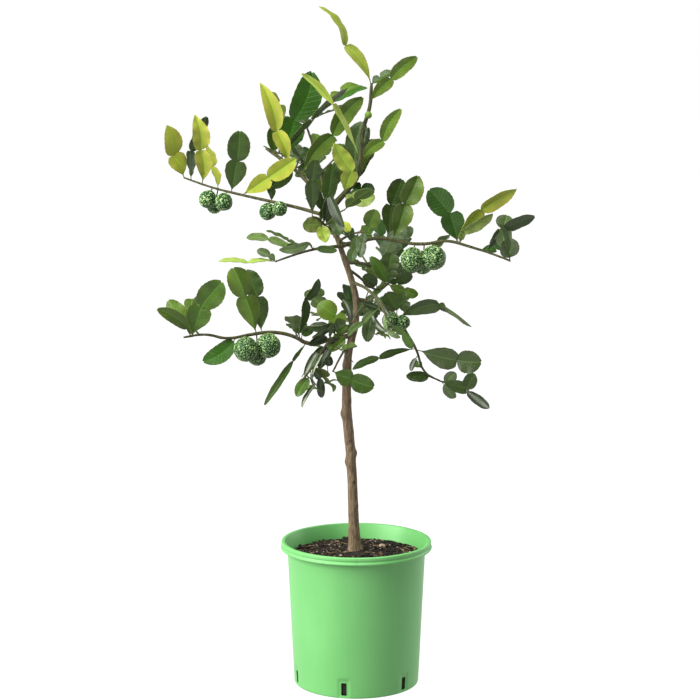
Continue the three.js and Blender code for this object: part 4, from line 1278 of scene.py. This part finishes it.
def plain_material(name, low, high, scale, roughness, relief=0.3, specular=0.4):
    """A surface whose colour runs between two tones in grains of 1/scale metres."""
    made = Shading(name, roughness, specular)
    grain = made.noise(scale, 5)
    return made.finish(made.lay(low, high, grain, 0.3, 0.7), None, made.bump(grain, relief, 0.8))


def pot_material():
    """Moulded green plastic: a fine pebbled skin, soft clouds of wear, and faint upright scratches."""
    skin = Shading("pot_plastic", 0.48, 0.45, 0.08, 0.3)
    pebbles = skin.noise(1500, 3)
    clouds = skin.noise(16, 4, (1, 1, 0.5))
    scratches = skin.noise(260, 3, (1, 1, 0.05))
    tint = skin.lay((111, 191, 105), (119, 198, 113), clouds, 0.3, 0.7)
    tint = skin.lay(tint, (150, 222, 140), scratches, 0.66, 0.8, 0.0, 0.12)
    gloss = skin.ramp(clouds, 0.25, 0.75, 0.44, 0.54)
    swell = skin.bump(clouds, 0.5, 0.3)
    return skin.finish(tint, gloss, skin.bump(pebbles, 0.06, 0.6, swell))


def fruit_material():
    """Warty rind: pale tops and dark green folds as the marks say, partly painted highlight and shade, with
    oil-gland pits.
    """
    rind = Shading("fruit_rind", 0.45, 0.22)
    wart_pattern_and_painted_light, calyx, ripe = rind.mark()
    glands = rind.node("ShaderNodeTexVoronoi", {"Vector": rind.where, "Scale": 1100}).outputs["Distance"]
    # Pale ridge tops are partly painted highlight, and the dark green folds partly painted shade
    tint = rind.lay((16, 62, 16), (182, 214, 142), wart_pattern_and_painted_light, 0.2, 0.7)
    tint = rind.mix(ripe, tint, (106, 138, 46))
    tint = rind.mix(calyx, tint, (92, 104, 58))
    return rind.finish(tint, None, rind.bump(glands, 0.12, 0.7))


# Pot


def wall_radius(z):
    return POT_BASE_RADIUS + (POT_TOP_RADIUS - POT_BASE_RADIUS) * z / POT_HEIGHT


def arc(centre, radius, start, end, count):
    """Points [radius from the pot's axis, height] on an arc, in degrees from outwards to upwards."""
    turns = np.radians(np.linspace(start, end, count))
    return [[centre[0] + radius * math.cos(a), centre[1] + radius * math.sin(a)] for a in turns]


def pot_outline():
    lip_foot = POT_HEIGHT - LIP_DROP
    foot_heights = [PANEL_LOW + 2, PANEL_LOW + 3, 6, 12, 18, 24, PANEL_HIGH - 1.2, PANEL_HIGH, 32]
    outline = [[0, 0], [30, 0], [70, 0], [POT_BASE_RADIUS - 6, 0]]
    outline += arc((POT_BASE_RADIUS - 2, 2), 2, -90, -5, 6)
    outline += [[wall_radius(z), z] for z in foot_heights + [60, 100, 140, 180]]
    outline += arc((wall_radius(lip_foot) + 1.2, lip_foot - 1.2), 1.2, 180, 90, 4)
    outline += arc((POT_RIM_RADIUS - 2, lip_foot + 2.4), 2, -70, 50, 9)
    outline += [[LIP_GROOVE_RADIUS, POT_HEIGHT - LIP_GROOVE_DEPTH]]
    outline += arc((LIP_TOP_RADIUS - 1, POT_HEIGHT - 4.2), 1, -40, 0, 4)
    outline += arc((LIP_TOP_RADIUS - 1.6, POT_HEIGHT - 1.6), 1.6, 0, 90, 6)
    outline += arc((POT_RIM_RADIUS - 5, POT_HEIGHT - 1.4), 1.4, 90, 170, 5)
    outline += [[wall_radius(lip_foot) - POT_WALL + 0.6, lip_foot], [wall_radius(150) - POT_WALL, 150]]
    outline += [[wall_radius(z) - POT_WALL, z] for z in (100, 60, 30)]
    outline += [[r, POT_FLOOR] for r in (POT_BASE_RADIUS - POT_WALL, 60, 30, 0)]
    return np.array(outline, float)


def eased_step(value, low, high):
    share = np.clip((value - low) / (high - low), 0, 1)
    return share * share * (3 - 2 * share)


def lathed(outline, sides):
    """A closed body turned about +Z from an outline that starts and ends on the axis."""
    turn = np.arange(sides) * 2 * math.pi / sides
    rings = outline[1:-1]
    points = np.stack([
        rings[:, None, 0] * np.cos(turn), rings[:, None, 0] * np.sin(turn),
        np.repeat(rings[:, 1:], sides, axis=1)], axis=2).reshape(-1, 3)
    points = np.concatenate([points, [[0, 0, outline[0, 1]], [0, 0, outline[-1, 1]]]])
    return points, ring_faces(len(rings), sides)


def press_in(points):
    """Sinks the panel round each slot and the seam of the lip into the outer wall."""
    radius = np.hypot(points[:, 0], points[:, 1])
    azimuth = np.degrees(np.arctan2(points[:, 1], points[:, 0]))
    z = points[:, 2]
    inwards = np.zeros(len(points))
    for i in range(SLOT_COUNT):
        away = (azimuth - SLOT_FIRST_AZIMUTH - i * 360 / SLOT_COUNT + 180) % 360 - 180
        aside = np.abs(np.radians(away)) * POT_BASE_RADIUS
        panel = 1 - eased_step(aside, PANEL_WIDTH / 2, PANEL_WIDTH / 2 + 2)
        panel *= eased_step(z, PANEL_LOW, PANEL_LOW + 2.5) * (1 - eased_step(z, PANEL_HIGH - 1.5, PANEL_HIGH))
        inwards += PANEL_DEPTH * panel
    seam = np.abs(np.radians(azimuth - SEAM_AZIMUTH)) * POT_RIM_RADIUS
    inwards += SEAM_DEPTH * (1 - eased_step(seam, 0, SEAM_WIDTH * 2)) * (z > POT_HEIGHT - LIP_DROP)
    outside = radius > wall_radius(z) - POT_WALL / 2
    inwards = np.where(outside & (z > 0.5), inwards, 0)
    points[:, 0] -= inwards * np.cos(np.radians(azimuth))
    points[:, 1] -= inwards * np.sin(np.radians(azimuth))


def add_slot(cutter, azimuth):
    """A block with rounded long edges that reaches through the wall."""
    place = Matrix.Rotation(math.radians(azimuth), 4, "Z")
    place = place @ Matrix.Translation((POT_BASE_RADIUS * MM, 0, (SLOT_LOW + SLOT_HIGH) / 2 * MM))
    size = Matrix.Diagonal((SLOT_REACH * MM, SLOT_WIDTH * MM, (SLOT_HIGH - SLOT_LOW) * MM, 1))
    corners = bmesh.ops.create_cube(cutter, size=1, matrix=place @ size)["verts"]
    outward = place.to_3x3() @ Vector((1, 0, 0))
    through = []
    for edge in {edge for corner in corners for edge in corner.link_edges}:
        way = (edge.verts[0].co - edge.verts[1].co).normalized()
        if abs(way.dot(outward)) > 0.9:
            through.append(edge)
    bmesh.ops.bevel(
        cutter, geom=through, offset=SLOT_ROUNDING * MM, segments=4, profile=0.5, affect="EDGES")


def cut_slots(pot):
    cutter = bmesh.new()
    for i in range(SLOT_COUNT):
        add_slot(cutter, SLOT_FIRST_AZIMUTH + i * 360 / SLOT_COUNT)
    mesh = bpy.data.meshes.new("slot_cutter")
    cutter.to_mesh(mesh)
    cutter.free()
    tool = add_to_scene("slot_cutter", mesh)
    cut = pot.modifiers.new("slots", "BOOLEAN")
    cut.operation = "DIFFERENCE"
    cut.solver = "EXACT"
    cut.object = tool
    bpy.context.view_layer.update()
    pot.data = bpy.data.meshes.new_from_object(pot.evaluated_get(bpy.context.evaluated_depsgraph_get()))
    pot.modifiers.clear()
    pot.data.set_sharp_from_angle(angle=math.radians(POT_SHARP))
    bpy.data.objects.remove(tool)


def make_pot():
    points, faces = lathed(pot_outline(), POT_SIDES)
    press_in(points)
    shell = Pile()
    shell.add(points, faces)
    cut_slots(shell.build("pot_shell", [pot_material()], ["pot"], POT_SHARP))


# Potting mix

MOUND_RADII, MOUND_HEIGHTS = np.array(SOIL_MOUND[::-1], float).T
# Chips, fibres and white grains: how many, and how far out they lie
CHIPS = 1100
CHIP_REACH = 94
FIBRES = 60
FIBRE_REACH = 88
GRAINS = 40
GRAIN_REACH = 90
CLEAR_OF_TRUNK = 9

CHIP_COLOURS = {
    "dark": ((20, 17, 12), (38, 33, 24)),
    "brown": ((50, 40, 27), (76, 62, 42)),
    "reddish": ((80, 52, 38), (112, 76, 56)),
    "tan": ((136, 116, 84), (172, 152, 116)),
}
CHIP_SHARES = ["dark"] * 14 + ["brown"] * 4 + ["reddish", "tan"]
CHIP_FACES = [(0, 2, 3, 1), (4, 5, 7, 6), (0, 1, 5, 4), (2, 6, 7, 3), (0, 4, 6, 2), (1, 3, 7, 5)]
# Three chips of four are short. Width is a share of the length, and each corner is drawn in or out by itself.
SHORT_CHIPS = 0.75
SHORT_CHIP = (2.5, 6)
LONG_CHIP = (6, 12)
CHIP_WIDTH = (0.3, 0.8)
CHIP_THICKNESS = (0.8, 2.4)
CHIP_CORNER = (0.6, 1.15)
CHIP_LIFT = (-0.2, 1.2)
FIBRE_STEPS = 6
FIBRE_LENGTH = (7, 26)
FIBRE_BEND = (-50, 50)
FIBRE_RADIUS = (0.2, 0.42)
# Size of a white grain in three directions
GRAIN_SIZES = ((0.6, 1.5), (0.6, 1.2), (0.5, 0.9))


def soil_height(x, y):
    radius = math.hypot(x, y)
    level = np.interp(radius, MOUND_RADII, MOUND_HEIGHTS)
    rough = noise.noise(Vector((x, y, 0)) * 0.14) + 0.5 * noise.noise(Vector((x, y, 7)) * 0.4)
    return level + SOIL_ROUGHNESS * rough * min(1, max(0, radius - 8) / 8)


def make_soil():
    inner_wall = [[wall_radius(z) - POT_WALL - SOIL_ROOM, z] for z in (8, 14, 20, 26, 60, 120, 180)]
    rim = wall_radius(SOIL_MOUND[0][1]) - POT_WALL - SOIL_ROOM
    outline = [[0, POT_FLOOR + GAP], [POT_BASE_RADIUS - POT_WALL - SOIL_ROOM, POT_FLOOR + GAP]] + inner_wall
    below = len(outline) - 1
    outline += [[r, SOIL_TOP_HEIGHT] for r in np.linspace(INNERMOST_SOIL_RING, rim, SOIL_RINGS)[::-1]]
    outline += [[0, SOIL_TOP_HEIGHT]]
    points, faces = lathed(np.array(outline), SOIL_SIDES)
    for i in list(range(below * SOIL_SIDES, len(points) - 2)) + [len(points) - 1]:
        points[i, 2] = soil_height(points[i, 0], points[i, 1])
    body = Pile()
    body.add(points, faces)
    material = plain_material("soil", (20, 16, 13), (48, 40, 31), 420, 0.95, 0.8)
    body.build("soil_mix", [material], ["soil"], 80)


def scattered(looks, reach):
    """A place on the potting mix, evenly over its top and clear of the trunk."""
    while True:
        radius = reach * math.sqrt(looks.random())
        a = looks.uniform(0, 2 * math.pi)
        x = radius * math.cos(a)
        y = radius * math.sin(a)
        if math.hypot(x - TRUNK_FOOT[0], y) > CLEAR_OF_TRUNK:
            return x, y


def make_chips():
    looks = random.Random(SEEDS["chips"])
    pile = Pile()
    names = list(CHIP_COLOURS)
    for _ in range(CHIPS):
        x, y = scattered(looks, CHIP_REACH)
        long = looks.uniform(*SHORT_CHIP) if looks.random() < SHORT_CHIPS else looks.uniform(*LONG_CHIP)
        size = np.array([long, long * looks.uniform(*CHIP_WIDTH), looks.uniform(*CHIP_THICKNESS)]) / 2
        corners = []
        for i in range(8):
            way = np.array([(i & 1) * 2 - 1, (i & 2) - 1, ((i & 4) >> 1) - 1])
            corners.append(way * size * [looks.uniform(*CHIP_CORNER) for _ in range(3)])
        tip = looks.gauss(0, 0.35)
        turn = Matrix.Rotation(looks.uniform(0, 6.3), 3, "Z") @ Matrix.Rotation(tip, 3, "X")
        turn = turn @ Matrix.Rotation(looks.gauss(0, 0.25), 3, "Y")
        lift = soil_height(x, y) + looks.uniform(*CHIP_LIFT)
        points = np.array(corners) @ np.array(turn).T + [x, y, lift]
        pile.add(points, CHIP_FACES, names.index(looks.choice(CHIP_SHARES)))
    materials = [plain_material("chip_" + name, *CHIP_COLOURS[name], 900, 0.85, 0.3) for name in names]
    pile.build("soil_chips", materials, (), 30)


def make_fibres():
    looks = random.Random(SEEDS["fibres"])
    pile = Pile()
    for _ in range(FIBRES):
        x, y = scattered(looks, FIBRE_REACH)
        length = looks.uniform(*FIBRE_LENGTH)
        azimuth = looks.uniform(0, 360)
        bend = looks.uniform(*FIBRE_BEND)
        points = []
        for i in range(FIBRE_STEPS + 1):
            share = i / FIBRE_STEPS
            way = math.radians(azimuth + bend * share)
            x += length / FIBRE_STEPS * math.cos(way)
            y += length / FIBRE_STEPS * math.sin(way)
            if math.hypot(x, y) > CHIP_REACH:
                break
            points.append([x, y, soil_height(x, y) + 1.3 + 1.5 * math.sin(math.pi * share) * looks.random()])
        if len(points) > 3:
            thick = looks.uniform(*FIBRE_RADIUS)
            pile.add_tube(np.array(points), azimuth, lambda s: thick * (1.1 - 0.5 * s), 5, 2)
    material = plain_material("fibre", (140, 112, 76), (188, 166, 126), 700, 0.8, 0.2)
    pile.build("soil_fibres", [material])


def add_lump(pile, x, y, lift, size, seed, detail, slot):
    """A lumpy grain or pebble with its middle this far over the mix."""
    points, faces = ball(detail)
    swell = np.array([1 + 0.2 * noise.noise(Vector(p) * 1.3 + Vector((seed, 0, 0))) for p in points])
    pile.add(points * swell[:, None] * size + [x, y, soil_height(x, y) + lift], faces, slot)


def make_grains():
    looks = random.Random(SEEDS["grains"])
    pile = Pile()
    for i in range(GRAINS):
        x, y = scattered(looks, GRAIN_REACH)
        size = [looks.uniform(*span) for span in GRAIN_SIZES]
        add_lump(pile, x, y, 1.3, size, i, 2, 0)
    add_lump(pile, *PEBBLE, 2.2, PEBBLE_SIZE, 900, 4, 1)
    materials = [plain_material("grain", (176, 168, 150), (214, 206, 188), 900, 0.8),
                 plain_material("pebble", (176, 146, 126), (206, 180, 160), 300, 0.6, 0.2)]
    pile.build("soil_grains", materials, (), 60)


# Wood


def trunk_place(height, azimuth):
    """The point of the trunk's bark at a height and azimuth."""
    share = np.interp(height, trunk_path[:, 2], np.linspace(0, 1, len(trunk_path)))
    return point_at(trunk_path, share) + direction(azimuth, 0) * spread(TRUNK["radii"], share)


knot_places = [trunk_place(height, azimuth) for height, azimuth, _, _, _ in KNOTS]

# Furrows and lumps of bark, in millimetres out, of the trunk and of the limbs. Only lumps over a certain size
# go with knots and with the flare at the trunk's foot.
TRUNK_BARK = (0.2, 0.55)
LIMB_BARK = (0.16, 0.22)
LUMPS_WITH_KNOTS = 0.3
FLARE = 2.2
FLARE_HEIGHT = 8
GREEN_HEIGHTS = (400, 760)


def streak(point, across, along, shift):
    """Noise that is drawn out along the wood."""
    return noise.noise(Vector((point[0] * across, point[1] * across, point[2] * along + shift)))


def bark_relief(fine, lumps):
    """Fine furrows along the wood, slow lumps and the knots: how far each point stands out, and its marks."""
    is_trunk = lumps > LUMPS_WITH_KNOTS

    def relief(points, outward):
        out = np.zeros(len(points))
        marks = np.zeros((len(points), 3))
        for i, p in enumerate(points):
            furrow = streak(p, 0.5, 0.09, 0) + 0.5 * streak(p, 1.1, 0.3, 9)
            out[i] = fine * furrow + lumps * streak(p, 0.12, 0.045, 31)
        for place, (_, _, reach, stands, dark) in zip(knot_places, KNOTS):
            away = np.linalg.norm(points - place, axis=1)
            out += stands * np.exp(-((away / reach) ** 2)) * is_trunk
            marks[:, 1] = np.maximum(marks[:, 1], dark * np.exp(-((away / reach / 0.5) ** 2)))
        height = points[:, 2]
        foot = np.exp(-np.maximum(height - SOIL_TOP_HEIGHT, 0) / FLARE_HEIGHT)
        lobes = 1 + 0.5 * np.cos(3 * np.arctan2(outward[:, 1], outward[:, 0]) + 0.7)
        out += FLARE * foot * lobes * is_trunk
        marks[:, 2] = eased_step(height, *GREEN_HEIGHTS) * 0.7
        return out, marks

    return relief


def limb_radius(limb, share):
    """A tapering limb with a collar at its foot and a rounded end."""
    low, high = limb["radii"]
    collar = 1 + 0.7 * math.exp(-share * limb["length"] / 6)
    return (low + (high - low) * share) * collar * (1 - 0.15 * max(0, share * 12 - 11))


def make_bark():
    pile = Pile()
    sunk = np.concatenate([[trunk_path[0] - [0, 0, 6]], trunk_path])
    pile.add_tube(
        sunk, TRUNK["azimuth"], lambda s: spread(TRUNK["radii"], s), 56, 1.3, bark_relief(*TRUNK_BARK))
    for limb in LIMBS:
        points, faces, marks = tube(
            limb["path"], limb["azimuth"], lambda s: limb_radius(limb, s), 16, 1.5, bark_relief(*LIMB_BARK))
        along = np.append(np.linspace(0, 0.6, len(marks) - 2), [0, 0.6])
        marks[:, 2] = np.clip(0.45 + marks[:, 2] + along, 0, 1)
        pile.add(points, faces, 0, marks)
    pile.build("wood", [bark_material()], ["trunk"] + ["bough_" + limb["name"] for limb in LIMBS], 70)


THORN_SHARE = 0.3
THORN_LENGTH = (6, 9)
THORN_RADIUS = 0.75


def add_thorn(pile, foot, along, looks):
    way = unit(along + np.array([looks.uniform(-1, 1) for _ in range(3)]))
    start = foot + way * looks.uniform(0, 0.2)
    path = np.array([start, foot + way * 3, foot + way * looks.uniform(*THORN_LENGTH)])
    pile.add_tube(path, 20, lambda s: THORN_RADIUS * (1.02 - s), 6, 1.5)


def make_twigs(joints):
    """Side twigs, the bare feet of leaves, and thorns beside some of them."""
    looks = random.Random(SEEDS["twigs"])
    pile = Pile()
    for limb in LIMBS:
        for path, azimuth, radius in limb["twig_paths"]:
            pile.add_tube(path, azimuth, lambda s: radius * (1.15 - 0.4 * s), 9, 2)
        for leaf in limb["leaf_list"]:
            add_petiole(pile, leaf, joints[id(leaf)])
            if looks.random() < THORN_SHARE:
                add_thorn(pile, leaf["foot"], leaf["along"], looks)
    pile.build("twigs", [twig_material()], (), 60)


# Fruits

# Large fruits have a finer mesh, and the smallest are ripe: yellowish and smooth
LARGE_FRUIT = 13
RIPE_FRUIT = 6


def add_fruit(pile, hold, centre, radius, ripe):
    """A warty fruit with its calyx, hung by a short stalk from its limb."""
    points, faces = ball(6 if radius > LARGE_FRUIT else 5)
    up = unit(hold - centre)
    marks = np.zeros((len(points), 3))
    out = np.zeros(len(points))
    for i, p in enumerate(points):
        place = Vector(p * radius) + Vector(centre)
        warped = place + noise.noise_vector(place * 0.13) * 2.4
        ridge = max(0, 1 - abs(noise.noise(warped * 0.42) + 0.2 * noise.noise(warped * 0.9)) / 0.17)
        out[i] = 0 if ripe else 0.8 * ridge + 0.6 * noise.noise(place * 0.09)
        # This mark makes ridges pale and folds dark in the rind's colour: partly painted highlight and
        # painted shade
        marks[i, 0] = ridge
    from_top = 1 - points @ up
    out += 1.3 * np.exp(-(from_top / 0.12)) - 1.6 * np.exp(-(from_top / 0.03))
    marks[:, 1] = np.exp(-(from_top / 0.02)) * 0.9
    marks[:, 2] = ripe
    pile.add(points * (radius + out)[:, None] + centre, faces, 0, marks)
    top = centre + up * (radius + 0.3)
    stalk = np.array([hold, (hold + top) / 2 + [0.4, 0.3, 0], top])
    points, faces, marks = tube(stalk, 15, lambda s: 1.0 + 1.5 * max(0, s - 0.7) / 0.3, 9, 1.2)
    marks[:, 1] = 1
    pile.add(points, faces, 0, marks)


def make_fruits():
    noise.seed_set(SEEDS["fruits"])
    pile = Pile()
    for limb in LIMBS:
        for fruit in limb["fruits"]:
            hold = point_at(limb["path"], fruit[0])
            radius = fruit[-1]
            add_fruit(pile, hold, fruit_middle(limb, fruit), radius, 1 if radius < RIPE_FRUIT else 0)
    pile.build("fruits", [fruit_material()], (), 180)


# Leaves by side of the crown

LEAF_PIECES = {
    "leaves_top": ["leader", "upper_left", "back_top"],
    "leaves_left": ["left_high", "left_mid", "left_low", "fork_left"],
    "leaves_right": ["right_high", "right_low", "right_mid", "fork_right"],
    "leaves_front": ["front_left", "front_low", "front_right"],
    "leaves_back": ["back_high", "back_right", "back_left"],
}


def make_leaves():
    """All leaves, and for each one where on its stalk it widens."""
    looks = random.Random(SEEDS["leaves"])
    materials = leaf_materials()
    by_name = {limb["name"]: limb for limb in LIMBS}
    joints = {}
    for piece, names in LEAF_PIECES.items():
        pile = Pile()
        for name in names:
            for leaf in by_name[name]["leaf_list"]:
                joints[id(leaf)] = add_leaf(pile, leaf, looks)
        pile.build(piece, materials, ["foliage_" + name for name in names], 60)
    return joints


# Stage, in metres, degrees and watts

FLOOR_REACH = 12
FLOOR_COLOUR = (90, 90, 90)
# Each lamp: name, place, what it aims at, width and height, power
LAMPS = [
    ("key", (-2.3, -1.1, 1.5), (0, 0, 0.5), (2.0, 1.8), 120),
    ("rim", (1.6, 1.0, 1.0), (0, 0, 0.4), (0.6, 1.6), 14),
    ("top", (-0.2, -0.5, 2.6), (0, 0, 0.5), (1.6, 1.6), 52),
]
WORLD_LIGHT = 0.34
WORLD_GLARE = 0.2
CAMERA_PLACE = (-0.0093, -2.8606, 0.9151)
CAMERA_TILT = 81.56
# In millimetres, as lenses are
FOCAL_LENGTH = 103.495
SENSOR_WIDTH = 36


def make_stage():
    """A floor that is white to the eye. Its own glow isn't light for the tree."""
    mesh = bpy.data.meshes.new("floor")
    corners = [(FLOOR_REACH * x, FLOOR_REACH * y, 0) for x, y in ((-1, -1), (1, -1), (1, 1), (-1, 1))]
    mesh.from_pydata(corners, [], [(0, 1, 2, 3)])
    floor = add_to_scene("floor", mesh)
    paint = Shading("floor_paint", 0.9, 0.1)
    paint.shader.inputs["Emission Color"].default_value = (1, 1, 1, 1)
    paint.shader.inputs["Emission Strength"].default_value = 1.0
    mesh.materials.append(paint.finish(colour(*FLOOR_COLOUR)))
    floor.visible_diffuse = False


def make_light(name, place, aim, size, power):
    lamp = bpy.data.lights.new(name, "AREA")
    lamp.shape = "RECTANGLE"
    lamp.size, lamp.size_y = size
    lamp.energy = power
    holder = add_to_scene(name, lamp)
    holder.location = place
    holder.rotation_euler = (Vector(aim) - Vector(place)).to_track_quat("-Z", "Y").to_euler()
    holder.visible_camera = False


def make_world():
    """White to the eye, and a softer white as light and as glare."""
    world = bpy.data.worlds.new("studio")
    bpy.context.scene.world = world
    world.use_nodes = True
    nodes = world.node_tree.nodes
    sky = nodes["Background"]
    seen = nodes.new("ShaderNodeLightPath")
    as_light = nodes.new("ShaderNodeMapRange")
    as_light.inputs["To Min"].default_value = WORLD_LIGHT
    as_light.inputs["To Max"].default_value = WORLD_GLARE
    strength = nodes.new("ShaderNodeMapRange")
    strength.inputs["To Max"].default_value = 1.0
    links = world.node_tree.links
    links.new(seen.outputs["Is Glossy Ray"], as_light.inputs["Value"])
    links.new(as_light.outputs[0], strength.inputs["To Min"])
    links.new(seen.outputs["Is Camera Ray"], strength.inputs["Value"])
    links.new(strength.outputs[0], sky.inputs["Strength"])
    sky.inputs["Color"].default_value = (1, 1, 1, 1)


def make_camera():
    lens = bpy.data.cameras.new("camera")
    lens.lens = FOCAL_LENGTH
    lens.sensor_width = SENSOR_WIDTH
    camera = add_to_scene("camera", lens)
    camera.location = CAMERA_PLACE
    camera.rotation_euler = (math.radians(CAMERA_TILT), 0, 0)
    bpy.context.scene.camera = camera


make_camera()
make_world()
make_stage()
for lamp in LAMPS:
    make_light(*lamp)
bpy.context.scene.view_settings.view_transform = "Standard"

make_pot()
make_soil()
make_chips()
make_fibres()
make_grains()
make_bark()
make_twigs(make_leaves())
make_fruits()
